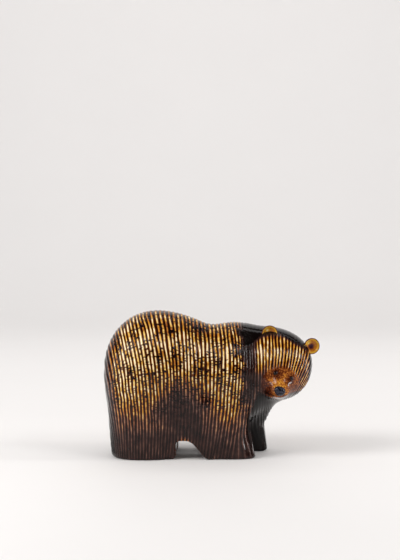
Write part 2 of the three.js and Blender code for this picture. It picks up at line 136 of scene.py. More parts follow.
# Regions of the glaze's colour, counted as a film's thickness from pale to black; some are painted
# highlight and painted shade, marked so. Each adds so much to the thickness, times a span for every
# measure that it begins and is full at, and a hill for every measure that it has a middle and a width on.
THINNEST = 0.09
THICKEST = 1.2
FILM_AND_PAINTED_LIGHT_REGIONS = {
    "down the legs": dict(adds=0.6, spans=[("z", 72, 6)]),
    "low on the flank": dict(adds=0.48, hills=[("x", -28, 23), ("z", 54, 20)]),
    "belly": dict(adds=0.22, spans=[("z", 60, 28)], hills=[("x", -20, 15)]),
    "over the fore leg": dict(adds=-0.11, hills=[("x", 12, 12), ("z", 42, 20)]),
    # Painted highlight: the upper rump is paler where the soft light falls on it
    "painted highlight on the upper rump": dict(adds=-0.14, hills=[("x", -74, 18), ("z", 98, 16)]),
    "behind the jaw": dict(adds=0.25, spans=[("x", 38, 43), ("x", 54, 46), ("z", 92, 74)]),
    # The next four darken where the skin faces the rear, ahead on the far cheek, and up on the back
    "rear": dict(adds=0.33, spans=[("out_x", -0.5, -0.95)]),
    "middle of the rear": dict(adds=0.25, spans=[("out_x", -0.8, -0.97)]),
    "far cheek": dict(adds=0.2, spans=[("out_x", 0.5, 0.9), ("x", 60, 75)]),
    "back": dict(adds=0.12, spans=[("out_z", 0.4, 0.9)]),
}
# Paler amber strip above the near edge of the opening across: glaze run thin over the edge, and a painted
# highlight along it
GLOW_FILM = 0.3
GLOW = dict(spans=[("over_opening", 6, 1.5), ("z", 12, 17), ("y", -24, -32)], hills=[("x", -24, 9)])
BEHIND_CHEEK = dict(adds=0.78, spans=[("ragged_x", 24, 33), ("x", 43, 36), ("y", 0, -20), ("z", 30, 74)])
BLACK_REGIONS = {
    "crown": dict(adds=1, spans=[("over_crown", -2, 2), ("ragged_x", 23, 34)]),
    "throat and jaw": dict(adds=1, spans=[("past_throat", -2, 2), ("over_jaw", 0, -3)]),
    # Painted shade: the far fore leg is near black, as in the shade of the near one
    "painted shade on the far fore leg": dict(adds=1, spans=[("y", -2, 4), ("ragged_x", 2, 26), ("z", 66, 26)]),
    "far cheek": dict(adds=0.9, spans=[("x", 60, 75), ("out_x", 0.84, 0.94)]),
    # Painted shade: darker where the skin faces down below the far cheek
    "painted shade under the far cheek": dict(adds=0.9, spans=[("x", 60, 75), ("out_z", -0.6, -0.8)]),
}
NICK_REGIONS = {
    "back and flanks": dict(adds=0.03, hills=[("z", 80, 26)]),
    "legs": dict(adds=-0.3, spans=[("z", 58, 22)]),
    "head": dict(adds=-0.6, spans=[("x", 34, 42)]),
}
FACE_FILM = dict(face=0.4, beside=0.22, beside_span=(2, 1.1), eyes=0.35, eye_width=3.6, ahead=(0, 10))
FACE_REGIONS = {
    "top of the muzzle": dict(adds=-0.16, hills=[("sideways", -2, 5), ("up", 3, 5)]),
    # Darker below and left of the nose
    "below left of the nose": dict(adds=0.45, hills=[("sideways", -9, 4), ("up", -11, 3)]),
}
EAR_FILM = dict(cup=0.1, behind=0.6, pool_at=(0, -0.5), highlight_at=(-3, 2), rim_rows=3)
EAR_REGIONS = {
    "cup": dict(adds=0.22, spans=[("radius", 6, 4.8)]),
    "pool": dict(adds=0.45, spans=[("from_pool", 4, 0.8)]),
    "edge": dict(adds=0.8, spans=[("radius", 6.4, 7.1)]),
    # Painted highlight: a pale spot high in the cup, where the light catches it
    "painted highlight in the cup": dict(adds=-0.4, hills=[("from_highlight", 0, 1.8)]),
}
EAR_BACK = dict(adds=0.4, spans=[("behind", -0.4, 1.0)])

# Borders of the black glaze, and how far it fills the grooves
BORDER_WAVES = ((1.8, 0.34, 0), (1.1, 0.83, 1))
CROWN_LINE = dict(height=113.6, rear=60, bend=0.0128, front=62, fall=0.6)
THROAT_LINE = dict(at=34.3, above=36.5, slope=0.29, toe=5, toe_span=(36, 5))
JAW_LINE = dict(at=45, height=62, slope=0.54)
FILLED = dict(most=0.85, black=(0.7, 1), height=(38, 48))

# Sizes of the glaze's patterns, in millimetres. A stiff brush's grain and the grit of the clay are finer than
# this on a real figure; they are drawn coarser so that they show.
TONE_LENGTH = 7
PATCH_SIZE = 12.5
EDGE_SIZE = 2.38
NICK_WIDTH = 1.1
GRAIN_SIZE = 1.25
GRIT_SIZE = 0.714
EAR_CLOUD = 2
DARK_CLOUD = 1.43

# How much each pattern counts, as thickness of the film: what it adds at most, what comes off to centre it,
# and where it begins and is full. TONE's stride takes neighbouring ridges to unlike places of the noise, and
# the fur's patterns count less by LESS_FUR's slope where the film is thicker.
PATCHY = dict(adds=0.44, less=0.21)
TONE = dict(stride=7.31, adds=0.8, less=0.4)
DRIFT = dict(adds=0.34, less=0.17)
GRAINY = dict(adds=1.1, less=0.55)
GROOVE_EDGE = dict(ragged=0.16, film=-0.14)
GROOVE_DARK = dict(full=0.27, none=0.57, adds=0.88)
NICKS = dict(lines=0.85, scale=0.8, crowded=0.5, none=0.825, full=0.885, adds=0.75, sinks=-0.8)
LESS_FUR = dict(slope=-1.12, thin=1.17)
UNEVEN = 0.25
ON_RAMP = 0.8
GREYER = dict(begins=0.28, full=0.62, least=0.7)

# Fineness, and how near the ground a point counts as on it
RINGS_PER_LINE = 7
UNDER_RAYS, CORNER_RAYS, SIDE_RAYS, TOP_RAYS = 8, 16, 24, 40
RAY_STEP = 3
RAY_LENGTH = 110
HALVINGS = 16
STATION_HALVINGS = 30
SLOPE_STEP = 0.05
ROUNDING_STEPS = 2
LEAST_ROUNDING = 0.001
TINY = 1e-9
EAR_GRID = (20, 72)
BALL_GRID = (32, 48)
ON_GROUND = 0.01
SOLE_HEIGHT = 0.05

# Camera: its distance, the direction it looks from, the place that lands on a pixel, and the picture's frame
PICTURE = (400, 560)
CAMERA_DISTANCE = 1350
CAMERA_ELEVATION = 8
TARGET = (0, 0, 64)
TARGET_PIXEL = (212, 385)
PIXELS_PER_MM = 1.075
SENSOR_WIDTH = 36
SIGHT = (0.05, 20)

# Studio, in metres: the paper sweep, the place that the soft boxes are turned to, and the boxes
SWEEP = dict(front=-2.5, flat=1.1, radius=0.9, wall=2.2, half_width=3.5, steps=24, cloud=6.0)
AIM = (0, 0, 0.07)
LAMP = (1, 0.98, 0.97)
SOFT_BOXES = {
    "top_box": dict(
        place=(0, -0.2, 1.5), size=(2.4, 1.8), power=2.5, colour=(1, 0.985, 0.98), mirrored=False),
    "rear_box": dict(place=(0, 1.5, 0.45), size=(1.4, 0.4), power=1.2, mirrored=False, spread=60),
    "left_box": dict(place=(-0.85, -0.6, 0.9), size=(0.5, 0.5), power=7.5),
    "right_box": dict(place=(0.8, -0.6, 0.95), size=(0.35, 0.35), power=2.5),
    "left_card": dict(place=(-1.2, -0.35, 0.42), size=(0.3, 0.6), power=3.5),
    "right_card": dict(place=(1.3, -0.1, 0.35), size=(0.2, 0.8), power=8),
    "back_box": dict(
        place=(0, 1.0, 1.8), target=(0, 2, 0.8), size=(3.2, 1.0), power=14.5, colour=(1, 0.98, 0.98)),
}
ROOM = dict(code="f0edec", strength=0.45)


def linear(code):
    """Colour as linear light from an sRGB hex code."""
    value = np.array([int(code[i:i + 2], 16) for i in (0, 2, 4)]) / 255
    light = np.where(value <= 0.04045, value / 12.92, ((value + 0.055) / 1.055) ** 2.4)
    return (*light.tolist(), 1.0)


def smoothstep(value, low, high):
    """0 up to low, 1 from high on, and three squares less two cubes of the share between them."""
    share = np.clip((value - low) / (high - low), 0, 1)
    return share * share * (3 - 2 * share)


def bump(value, middle, width):
    """A soft hill: one at the middle, falling off over the width."""
    return np.exp(-((value - middle) / width) ** 2)


def blend(a, b, size):
    """Smaller of two depths, with a rounded valley of the given size where they are alike."""
    near = np.maximum(size - np.abs(a - b), 0) / size
    return np.minimum(a, b) - near * near * size / 4


def trim(a, b, size):
    """Larger of two depths, with an edge rounded by the given size."""
    return -blend(-a, -b, size)


def egg(place, at, half):
    """Depth below an egg's skin, about in millimetres: its scaled radius less one, over the slope of that.

    A tiny addend keeps the slope above nought in the middle.
    """
    scaled = [(p - a) / h for p, a, h in zip(place, at, half)]
    reach = np.sqrt(sum(s ** 2 for s in scaled))
    slope = np.sqrt(sum((s / h) ** 2 for s, h in zip(scaled, half))) + TINY
    return reach * (reach - 1) / slope


def block(x, y, half_x, half_y):
    """Depth below the side of an upright block whose plan is a rounded rectangle."""
    reach = (np.abs(x / half_x) ** PLAN_POWER + np.abs(y / half_y) ** PLAN_POWER) ** (1 / PLAN_POWER)
    return (reach - 1) * np.minimum(half_x, half_y)


def rod(place, start, end, radius):
    """Depth below a rod between two balls that touches both.

    Along its side the nearest ball lies back from the place by the taper; its radius goes from one to the
    other in proportion.
    """
    axis = [e - s for s, e in zip(start, end)]
    gone = [p - s for p, s in zip(place, start)]
    length = math.hypot(*axis)
    along = sum(w * a for w, a in zip(gone, axis)) / length
    away = np.sqrt(sum((w - along / length * a) ** 2 for w, a in zip(gone, axis)))
    taper = (radius[0] - radius[1]) / length
    share = np.clip((along - away * taper / math.sqrt(1 - taper ** 2)) / length, 0, 1)
    distance = np.sqrt(sum((w - share * a) ** 2 for w, a in zip(gone, axis)))
    return distance - (radius[0] + (radius[1] - radius[0]) * share)


def head_axes():
    """Forward, sideways and up of the head: turned about the upright, bowed, then tipped about forward."""
    turn, bow, tip = np.radians([HEAD_TURN, HEAD_BOW, HEAD_TIP])
    forward = np.array([np.cos(turn) * np.cos(bow), -np.sin(turn) * np.cos(bow), -np.sin(bow)])
    level = np.array([np.sin(turn), np.cos(turn), 0])
    crown = np.cross(forward, level)
    crown *= np.sign(crown[2])
    return forward, level * np.cos(tip) - crown * np.sin(tip), crown * np.cos(tip) + level * np.sin(tip)


HEAD_AXES = head_axes()


def into_head(place):
    """A place in the head's frame: how far it lies from the head's middle along each of its axes."""
    away = [p - a for p, a in zip(place, HEAD_AT)]
    return [sum(a * w for a, w in zip(axis, away)) for axis in HEAD_AXES]


def from_head(forward, sideways, up):
    """Places given in the head's frame, in the figure's: one row for each."""
    parts = [np.multiply.outer(v, axis) for v, axis in zip((forward, sideways, up), HEAD_AXES)]
    return np.array(HEAD_AT) + parts[0] + parts[1] + parts[2]


def hind_legs(x, y, z):
    """Both hind legs as one upright block that widens towards its rounded top."""
    rise = np.clip(z / WIDEN_HEIGHT, 0, 1)
    half_x = HIND["half"][0] + HIND["widen"][0] * rise ** WIDEN_POWER
    half_y = HIND["half"][1] + HIND["widen"][1] * rise
    plan = block(x - HIND["at"][0], y - HIND["at"][1], half_x, half_y)
    return trim(plan, z - HIND["top"], HIND["top_blend"])


def belly(x, y, z):
    """An upright block between the legs, wider above, with a rounded top."""
    half_y = BELLY["half"][1] + BELLY["widen"][1] * np.clip(z / WIDEN_HEIGHT, 0, 1)
    return trim(block(x - BELLY["at"][0], y, BELLY["half"][0], half_y), z - BELLY["top"], BELLY["top_blend"])


def toe_share(z):
    """Share of the toes' flare at a height: all at the ground, none above the toes."""
    return -blend(z / TOE["height"] - 1, 0, TOE["round"])


def fore_leg(x, y, z, leg):
    """One fore leg, its front carried ahead at the ground by the flare."""
    sideways = y - leg["at"][1]
    flare = leg["flare"] / 2 * toe_share(z)
    ahead = x - leg["at"][0] - FORE["skew"] * sideways - flare
    half_y = leg["half"][1] + FORE["widen"] * np.clip(z / WIDEN_HEIGHT, 0, 1)
    return trim(block(ahead, sideways, leg["half"][0] + flare, half_y), z - FORE["top"], FORE["top_blend"])


def skin(x, y, z):
    """Depth below the figure's skin without the openings: all masses blended, trimmed at the ground."""
    place = (x, y, z)
    depth = blend(egg(place, **RUMP), egg(place, **BACK), RUMP_BLEND)
    depth = blend(depth, egg(place, **SHOULDER), SHOULDER_BLEND)
    depth = blend(depth, hind_legs(x, y, z), HIND["blend"])
    depth = blend(depth, belly(x, y, z), BELLY["blend"])
    depth = blend(depth, fore_leg(x, y, z, NEAR_LEG), FORE["blend"])
    depth = blend(depth, fore_leg(x, y, z, FAR_LEG), FORE["blend"])
    depth = blend(depth, rod(place, **CHEST), CHEST_BLEND)
    depth = blend(depth, rod(place, **NECK), NECK_BLEND)
    in_head = into_head(place)
    depth = blend(depth, egg(in_head, **SKULL), SKULL_BLEND)
    depth = blend(depth, rod(in_head, **SNOUT), SNOUT_BLEND)
    depth = blend(depth, rod(place, **THROAT), THROAT_BLEND)
    return trim(depth, -z, FOOT_EDGE)


def slope_of(depth, places):
    """Slope of a depth at each place, by small steps to both sides along X, Y and Z."""
    slope = np.empty_like(places)
    for axis in range(3):
        step = np.zeros(3)
        step[axis] = SLOPE_STEP
        slope[:, axis] = (depth(*(places + step).T) - depth(*(places - step).T)) / (2 * SLOPE_STEP)
    return slope


def fan_shift(z):
    """How far the head's lines have swung back towards the chest: none on the crown, more on the cheek."""
    below = -blend(z - HEAD_FAN["top"], 0, HEAD_FAN["round"])
    return -HEAD_FAN["steepest"] * blend(below, HEAD_FAN["drop"], HEAD_FAN["round"])


def sheet_x(station, y, z):
    """X of the sheet that starts at a station, where it passes over (y, z): the station, plus each lean."""
    rear = np.clip((REAR_LEAN["start"] - station) / REAR_LEAN["over"], 0, 1) * REAR_LEAN["slope"]
    tail = np.clip((TAIL_LEAN["start"] - station) / TAIL_LEAN["over"], 0, TAIL_LEAN["most"]) ** 2
    x = station - (rear + tail * TAIL_LEAN["slope"]) * (z - REAR_LEAN["level"])
    rump = smoothstep(RUMP_CURVE["start"] - station, 0, RUMP_CURVE["over"])
    x = x - rump * RUMP_CURVE["bend"] / 2 * np.maximum(z - RUMP_CURVE["above"], 0) ** 2
    near = 1 - smoothstep(np.abs(station - SHOULDER_LEAN["middle"]), 0, SHOULDER_LEAN["reach"])
    lean = SHOULDER_LEAN["slope"] * (z - SHOULDER_LEAN["level"])
    x = x + near * (lean - SHOULDER_LEAN["bend"] / 2 * np.maximum(z - SHOULDER_LEAN["above"], 0) ** 2)
    x = x + smoothstep(station - HEAD_FAN["start"], 0, HEAD_FAN["over"]) * fan_shift(z)
    near_toe = smoothstep(station - TOE_BEND["start"], 0, TOE_BEND["over"]) * TOE_BEND["most"]
    far_toe = smoothstep(station - TOE_BEND["back"], 0, TOE_BEND["back_over"]) * TOE_BEND["less"]
    return x + (near_toe - far_toe) * toe_share(z)


def depth_in_sheet(station, y, z):
    """Depth below the skin at the place over (y, z) in the sheet of a station."""
    return skin(sheet_x(station, y, z), y, z)


def touching_end(search):
    """Station where the sheets just touch the figure, and the place where they do, on an even grid."""
    side, top, step = END_GRID["side"], END_GRID["top"], END_GRID["step"]
    y, z = np.meshgrid(np.arange(-side, side + step, step), np.arange(step, top + step, step), indexing="ij")
    missing, cutting = search
    for _ in range(STATION_HALVINGS):
        middle = (missing + cutting) / 2
        if depth_in_sheet(middle, y, z).min() < 0:
            cutting = middle
        else:
            missing = middle
    best = np.argmin(depth_in_sheet(cutting, y, z))
    return cutting, y.flat[best], z.flat[best]


def reach(station, y, z, turn):
    """How far a section reaches from places inside it along a direction in the sheet: steps, then halving."""
    station, y, z, turn = (np.ravel(v).astype(float) for v in np.broadcast_arrays(station, y, z, turn))
    across, rise = np.cos(turn), np.sin(turn)

    def outside(distance, which):
        return depth_in_sheet(
            station[which], y[which] + distance * across[which], z[which] + distance * rise[which]) > 0

    inside = np.zeros(len(y))
    going = np.arange(len(y))
    for _ in range(int(RAY_LENGTH / RAY_STEP)):
        going = going[~outside(inside[going] + RAY_STEP, going)]
        inside[going] += RAY_STEP
    beyond = inside + RAY_STEP
    every = np.arange(len(y))
    for _ in range(HALVINGS):
        middle = (inside + beyond) / 2
        out = outside(middle, every)
        beyond = np.where(out, middle, beyond)
        inside = np.where(out, inside, middle)
    return inside


def spine_at(stations, ends):
    """Sideways places, least height and level of the frame, eased from one entry of the spine to the next."""
    first, last = [(station, y, y, min(z, SPINE[-1][3]), z) for station, y, z in ends]
    rows = np.array([first, *SPINE, last], float)
    after = np.clip(np.searchsorted(rows[:, 0], stations, "right"), 1, len(rows) - 1)
    before = rows[after - 1]
    share = smoothstep(stations, before[:, 0], rows[after, 0])[:, None]
    return (before[:, 1:] * (1 - share) + rows[after, 1:] * share).T


def ring_rays():
    """Starts and directions of a ring's rays: side, share of the half width, share of the height, degrees.

    Half a ring goes from the middle of the underside, round the lower corner and up the side, to the middle
    of the back; the other half is the same the other way round.
    """
    under = [(i / UNDER_RAYS, 0, -90) for i in range(UNDER_RAYS)]
    corner = [(1, 0, -90 + 90 * (i + 0.5) / CORNER_RAYS) for i in range(CORNER_RAYS)]
    side = [(1, (i + 1) / (SIDE_RAYS + 1), 0) for i in range(SIDE_RAYS)]
    top = [(1 - i / TOP_RAYS, 1, 90 * i / TOP_RAYS) for i in range(TOP_RAYS + 1)]
    half = np.array(under + corner + side + top, float)
    far = np.column_stack([np.ones(len(half)), half])
    near = np.column_stack([np.zeros(len(half)), half])[-2:0:-1]
    return np.vstack([far, near]).T


def section_points(stations, ends):
    """Points of the uncarved skin, one ring for each station: rays go out in the sheet from a frame inside.

    The frame's lower corners reach down into the legs; the middle of its lower end stays above the gap
    between them.
    """
    lower, upper, least, level = spine_at(stations, ends)
    top = level + reach(stations, upper, level, np.pi / 2)
    bottom = level - reach(stations, lower, level, -np.pi / 2)
    inset = np.minimum(INSET["corner"], INSET["most"] * (top - bottom))
    low = np.maximum(bottom + inset, np.minimum(least, level))
    high = level + (top - level) * INSET["top_height"]
    low_width = np.array([reach(stations, lower, low, turn) for turn in (np.pi, 0)])
    low_half = np.maximum(low_width - inset, INSET["least"] * low_width)
    feet = [lower + way * half for way, half in zip((-1, 1), low_half)]
    below = np.array([reach(stations, foot, low, -np.pi / 2) for foot in feet])
    corner = low - np.maximum(below - inset, 0)
    high_half = np.array([INSET["top_width"] * reach(stations, upper, high, turn) for turn in (np.pi, 0)])
    side, share, rise, degrees = ring_rays()
    side = side.astype(int)
    way = 2 * side - 1
    half = low_half[side].T * (1 - rise) + high_half[side].T * rise
    y = np.outer(lower, 1 - rise) + np.outer(upper, rise) + way * share * half
    z = np.outer(low, (1 - share) * (1 - rise)) + corner[side].T * share * (1 - rise) + np.outer(high, rise)
    turn = np.where(side == 1, np.radians(degrees), np.pi - np.radians(degrees))
    station = np.repeat(stations[:, None], len(side), axis=1)
    distance = reach(station, y, z, turn).reshape(y.shape)
    y = y + distance * np.cos(turn)
    z = z + distance * np.sin(turn)
    return np.stack([sheet_x(station, y, z), y, z], axis=-1)


def line_length(ends):
    """Length that the lines are spread over: along the flanks and round a quarter turn at either end."""
    return ends[1][0] - ends[0][0] + sum(END_ROUND) * (math.pi / 2 - 1)


def station_of(share, ends):
    """Station of a share of that length: even on the flanks, closer together where both ends round away."""
    along = share * line_length(ends)
    left = line_length(ends) - along
    rear, cheek = END_ROUND
    at_rear = ends[0][0] + rear * (1 - np.cos(np.minimum(along / rear, math.pi / 2)))
    at_cheek = ends[1][0] - cheek * (1 - np.cos(np.minimum(left / cheek, math.pi / 2)))
    flank = ends[0][0] + rear + along - rear * math.pi / 2
    station = np.where(along < rear * math.pi / 2, at_rear, flank)
    return np.where(left < cheek * math.pi / 2, at_cheek, station)


def share_of(station, ends):
    """The other way round: share of the line length at a station."""
    rear, cheek = END_ROUND
    past = np.clip(station - ends[0][0], 0, None)
    left = np.clip(ends[1][0] - station, 0, None)
    at_rear = rear * np.arccos(1 - np.minimum(past / rear, 1))
    at_cheek = line_length(ends) - cheek * np.arccos(1 - np.minimum(left / cheek, 1))
    along = np.where(past < rear, at_rear, past - rear + rear * math.pi / 2)
    return np.where(left < cheek, at_cheek, along) / line_length(ends)


def lattice_noise(u, v):
    """Smooth noise from -1 to 1: fixed random values on a square lattice, eased between its corners."""
    size = WANDER["lattice"]
    values = np.random.default_rng(WANDER["seed"]).uniform(-1, 1, (size, size))
    column, row = np.floor(u).astype(int), np.floor(v).astype(int)
    s, t = smoothstep(u - column, 0, 1), smoothstep(v - row, 0, 1)

    def corner(i, j):
        return values[(column + i) % size, (row + j) % size]

    lower = corner(0, 0) * (1 - s) + corner(1, 0) * s
    upper = corner(0, 1) * (1 - s) + corner(1, 1) * s
    return lower * (1 - t) + upper * t


def girth_of(places):
    """Way along a carved line in millimetres, from its turn about a level line through the body."""
    return GIRTH["radius"] * np.arctan2(places[:, 1], places[:, 2] - GIRTH["level"])


def line_number(places, ends):
    """Number of the carved line at each place, whole in the middle of a groove, with a slight wander.

    The station of the sheet through a place is found by halving, and its share of the line length is counted
    in lines. On the body the hand that carved them bent each line back a little, above and below mid height.
    """
    x, y, z = places.T
    on_body = 1 - smoothstep(x, HAND_BEND["start"], HAND_BEND["end"])
    x = x + on_body * HAND_BEND["bend"] / 2 * (z - HAND_BEND["level"]) ** 2
    low = np.full(len(x), ends[0][0] - 1)
    high = np.full(len(x), ends[1][0] + 1)
    for _ in range(STATION_HALVINGS):
        middle = (low + high) / 2
        before = sheet_x(middle, y, z) < x
        low = np.where(before, middle, low)
        high = np.where(before, high, middle)
    number = share_of(low, ends) * round(line_length(ends) / LINE_PITCH)
    wander = lattice_noise(number / WANDER["across"], girth_of(places) / WANDER["along"])
    return number + WANDER["lines"] * wander


def from_face(places):
    """Scaled distance from the middle of the smooth face: one on its border, more outside it."""
    away = [h - a for h, a in zip(into_head(places.T), FACE["at"])]
    return np.sqrt(sum((w / h) ** 2 for w, h in zip(away, FACE["half"])))


def off_face(places):
    """0 on the smooth face, 1 off it, eased over its border."""
    return smoothstep(from_face(places), 1, FACE["soft"])


def outward_at(places):
    """Direction straight out of the skin at each place, one unit long."""
    slope = slope_of(skin, places)
    return slope / np.linalg.norm(slope, axis=1)[:, None]


def carve(places, number, depth):
    """Sinks places straight into the skin by the groove's depth: full on its floor, none on the ridge's top.

    Where the glaze is thick and black, and where black is painted for shade, it nearly fills the grooves.
    """
    from_groove = np.abs(number - np.round(number))
    cut = 1 - smoothstep(from_groove, GROOVE["floor"], GROOVE["ridge"])
    outward = outward_at(places)
    height = places[:, 2]
    black = smoothstep(black_glaze_and_painted_shade(measures(places, outward)), *FILLED["black"])
    filled = FILLED["most"] * black * smoothstep(height, *FILLED["height"])
    fade = smoothstep(height, *FOOT_FADE) * off_face(places) * (1 - filled)
    return places - outward * (depth * cut * fade)[:, None]


def across_depth(x, y, z):
    """Depth inside the opening across the figure, positive outside: rear wall, ceiling, slanting front."""
    turn = math.radians(ACROSS["turn"])
    ahead = x * math.cos(turn) - y * math.sin(turn)
    front = (ahead - ACROSS["front"] + ACROSS["slant"] * z) / math.hypot(1, ACROSS["slant"])
    walls = trim(ACROSS["rear"] - ahead, front, ACROSS["corner"])
    return trim(walls, z - ACROSS["height"], 2 * ACROSS["corner"])


def along_depth(y, z):
    """Depth inside the arched opening along the figure, positive outside it."""
    wide = (y - ALONG["at"]) / ALONG["half_width"]
    high = np.maximum(z, 0) / ALONG["height"]
    return (np.hypot(wide, high) - 1) * ALONG["half_width"]


def closed_grid(name, grid, first, last):
    """Mesh of a surface on a grid of rows that close on themselves, with a pole before and after the rows."""
    rows, columns = grid.shape[:2]
    points = np.vstack([grid.reshape(-1, 3), first, last])
    row, column = np.meshgrid(np.arange(rows - 1), np.arange(columns), indexing="ij")
    here, beside = row * columns + column, row * columns + (column + 1) % columns
    quads = np.stack([here, beside, beside + columns, here + columns], axis=-1).reshape(-1, 4)
    around = np.arange(columns)
    after = (around + 1) % columns
    fans = np.vstack([
        np.column_stack([np.full(columns, rows * columns), after, around]),
        np.column_stack([np.full(columns, rows * columns + 1), around, after]) +
        np.array([0, 1, 1]) * (rows - 1) * columns,
    ])
    a, b, c = points[quads[:, 0]], points[quads[:, 1]], points[quads[:, 2]]
    if (a * np.cross(b, c)).sum() < 0:
        quads, fans = quads[:, ::-1], fans[:, ::-1]
    return mesh_from(name, points, quads, fans)


def mesh_from(name, points, quads, triangles):
    """Mesh in metres from points in the form's frame, in millimetres, and its faces."""
    mesh = bpy.data.meshes.new(name)
    moved = (points - np.array([*MIDDLE, 0])) * MM
    mesh.vertices.add(len(moved))
    mesh.vertices.foreach_set("co", moved.ravel())
    corners = np.concatenate([quads.ravel(), triangles.ravel()])
    sizes = np.concatenate([np.full(len(quads), 4), np.full(len(triangles), 3)])
    mesh.loops.add(len(corners))
    mesh.loops.foreach_set("vertex_index", corners.astype(np.int32))
    mesh.polygons.add(len(sizes))
    mesh.polygons.foreach_set("loop_start", (np.cumsum(sizes) - sizes).astype(np.int32))
    mesh.update(calc_edges=True)
    mesh.validate()
    mesh.shade_smooth()
    return mesh


def places_of(mesh):
    """Places of a mesh's points in the form's frame, in millimetres."""
    points = np.empty(len(mesh.vertices) * 3)
    mesh.vertices.foreach_get("co", points)
    return points.reshape(-1, 3) / MM + np.array([*MIDDLE, 0])


def put_places(mesh, places):
    """The other way round: moves a mesh's points to places in the form's frame."""
    mesh.vertices.foreach_set("co", ((places - np.array([*MIDDLE, 0])) * MM).ravel())
    mesh.update()


def put_value(mesh, name, values):
    """Gives a mesh an attribute with one number for each point."""
    mesh.attributes.new(name, "FLOAT", "POINT").data.foreach_set("value", values.astype(np.float32))


def new_object(name, mesh):
    """Object of a mesh at the origin; one of the same name from an earlier run goes first."""
    old = bpy.data.objects.get(name)
    if old:
        bpy.data.objects.remove(old)
    piece = bpy.data.objects.new(name, mesh)
    bpy.context.scene.collection.objects.link(piece)
    return piece


def bear_piece(name, mesh, *materials):
    """Piece of the figure: it rides on the root and stands for the CAD node."""
    for material in materials:
        mesh.materials.append(material)
    piece = new_object(name, mesh)
    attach(piece, "root")
    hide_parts("bear")
    return piece


def across_profile():
    """Outline of the opening across the figure, evenly spaced: up the rear wall, along the ceiling, down."""
    height, corner, rear = ACROSS["height"], ACROSS["corner"], ACROSS["rear"]
    top = ACROSS["front"] - ACROSS["slant"] * height
    share = np.linspace(0, 1, CUTTER["corner_points"])
    curve = [(1 - share) ** 2, 2 * share * (1 - share), share ** 2]
    rear_corner = [(rear, height - corner), (rear, height), (rear + corner, height)]
    front_corner = [(top - corner, height), (top, height), (top + ACROSS["slant"] * corner, height - corner)]
    bends = [sum(np.outer(c, p) for c, p in zip(curve, points)) for points in (rear_corner, front_corner)]
    foot = [(ACROSS["front"], 0), (ACROSS["front"], -CUTTER["below"])]
    return np.vstack([[(rear, -CUTTER["below"])], *bends, foot])


def along_profile():
    """Outline of the opening along the figure: straight up from below the ground, then half an ellipse."""
    turn = np.linspace(0, math.pi, CUTTER["arch_points"])
    half_width, below = ALONG["half_width"], CUTTER["below"]
    arch = np.column_stack([half_width * np.cos(turn), ALONG["height"] * np.sin(turn)])
    return np.vstack([[(half_width, -below)], arch, [(-half_width, -below)]])


def spread_out(outline):
    """A closed outline with points about every cutter pitch along it, its own corners kept."""
    places = []
    for here, there in zip(outline, np.roll(outline, -1, axis=0)):
        steps = max(1, round(np.linalg.norm(there - here) / CUTTER["pitch"]))
        places.append(here + (there - here) * (np.arange(steps) / steps)[:, None])
    return np.vstack(places)


def cutter_object(name, outline, half_length, place):
    """Solid that an opening is cut with: its outline carried along a straight line, closed at both ends."""
    outline = spread_out(outline)
    along = np.arange(-half_length, half_length + CUTTER["pitch"], CUTTER["pitch"])
    grid = np.array([place(np.full(len(outline), a), outline[:, 0], outline[:, 1]) for a in along])
    return new_object(name, closed_grid(name, grid, grid[0].mean(axis=0), grid[-1].mean(axis=0)))


def cut_openings(mesh):
    """The mesh less both openings, cut by a boolean on a helper object and taken back as a plain mesh."""
    turn = -math.radians(ACROSS["turn"])

    def across(along, ahead, up):
        return np.column_stack([
            ahead * math.cos(turn) - along * math.sin(turn),
            ahead * math.sin(turn) + along * math.cos(turn), up])

    def lengthwise(along, sideways, up):
        return np.column_stack([along, sideways + ALONG["at"], up])

    body = new_object("uncut_body", mesh)
    cutters = [
        cutter_object("across_cutter", across_profile(), CUTTER["half_width"], across),
        cutter_object("along_cutter", along_profile(), CUTTER["half_length"], lengthwise),
    ]
    for cutter in cutters:
        modifier = body.modifiers.new("opening", "BOOLEAN")
        modifier.operation = "DIFFERENCE"
        modifier.solver = "MANIFOLD"
        modifier.object = cutter
    shown = body.evaluated_get(bpy.context.evaluated_depsgraph_get())
    cut = bpy.data.meshes.new_from_object(shown)
    for helper in [body, *cutters]:
        bpy.data.objects.remove(helper)
    return cut


def round_openings(places):
    """Moves places by the openings' sharp edges onto edges rounded by the glaze.

    The rounded depth is the larger of the skin's and both openings', eased where they meet; a place goes
    down its slope by that depth over the slope's square.
    """
    def rounded(x, y, z):
        solid = trim(skin(x, y, z), -across_depth(x, y, z), OPENING_EDGE)
        return trim(solid, -along_depth(y, z), OPENING_EDGE)

    x, y, z = places.T
    sharp = np.maximum(skin(x, y, z), np.maximum(-across_depth(x, y, z), -along_depth(y, z)))
    low = z < ALONG["height"] + 2 * OPENING_EDGE
    near = np.flatnonzero((rounded(x, y, z) - sharp > LEAST_ROUNDING) & low)
    moved = places.copy()
    for _ in range(ROUNDING_STEPS):
        spot = moved[near]
        slope = slope_of(rounded, spot)
        size = (slope ** 2).sum(axis=1)
        moved[near] = spot - slope * (np.maximum(rounded(*spot.T), 0) / size)[:, None]
    return moved


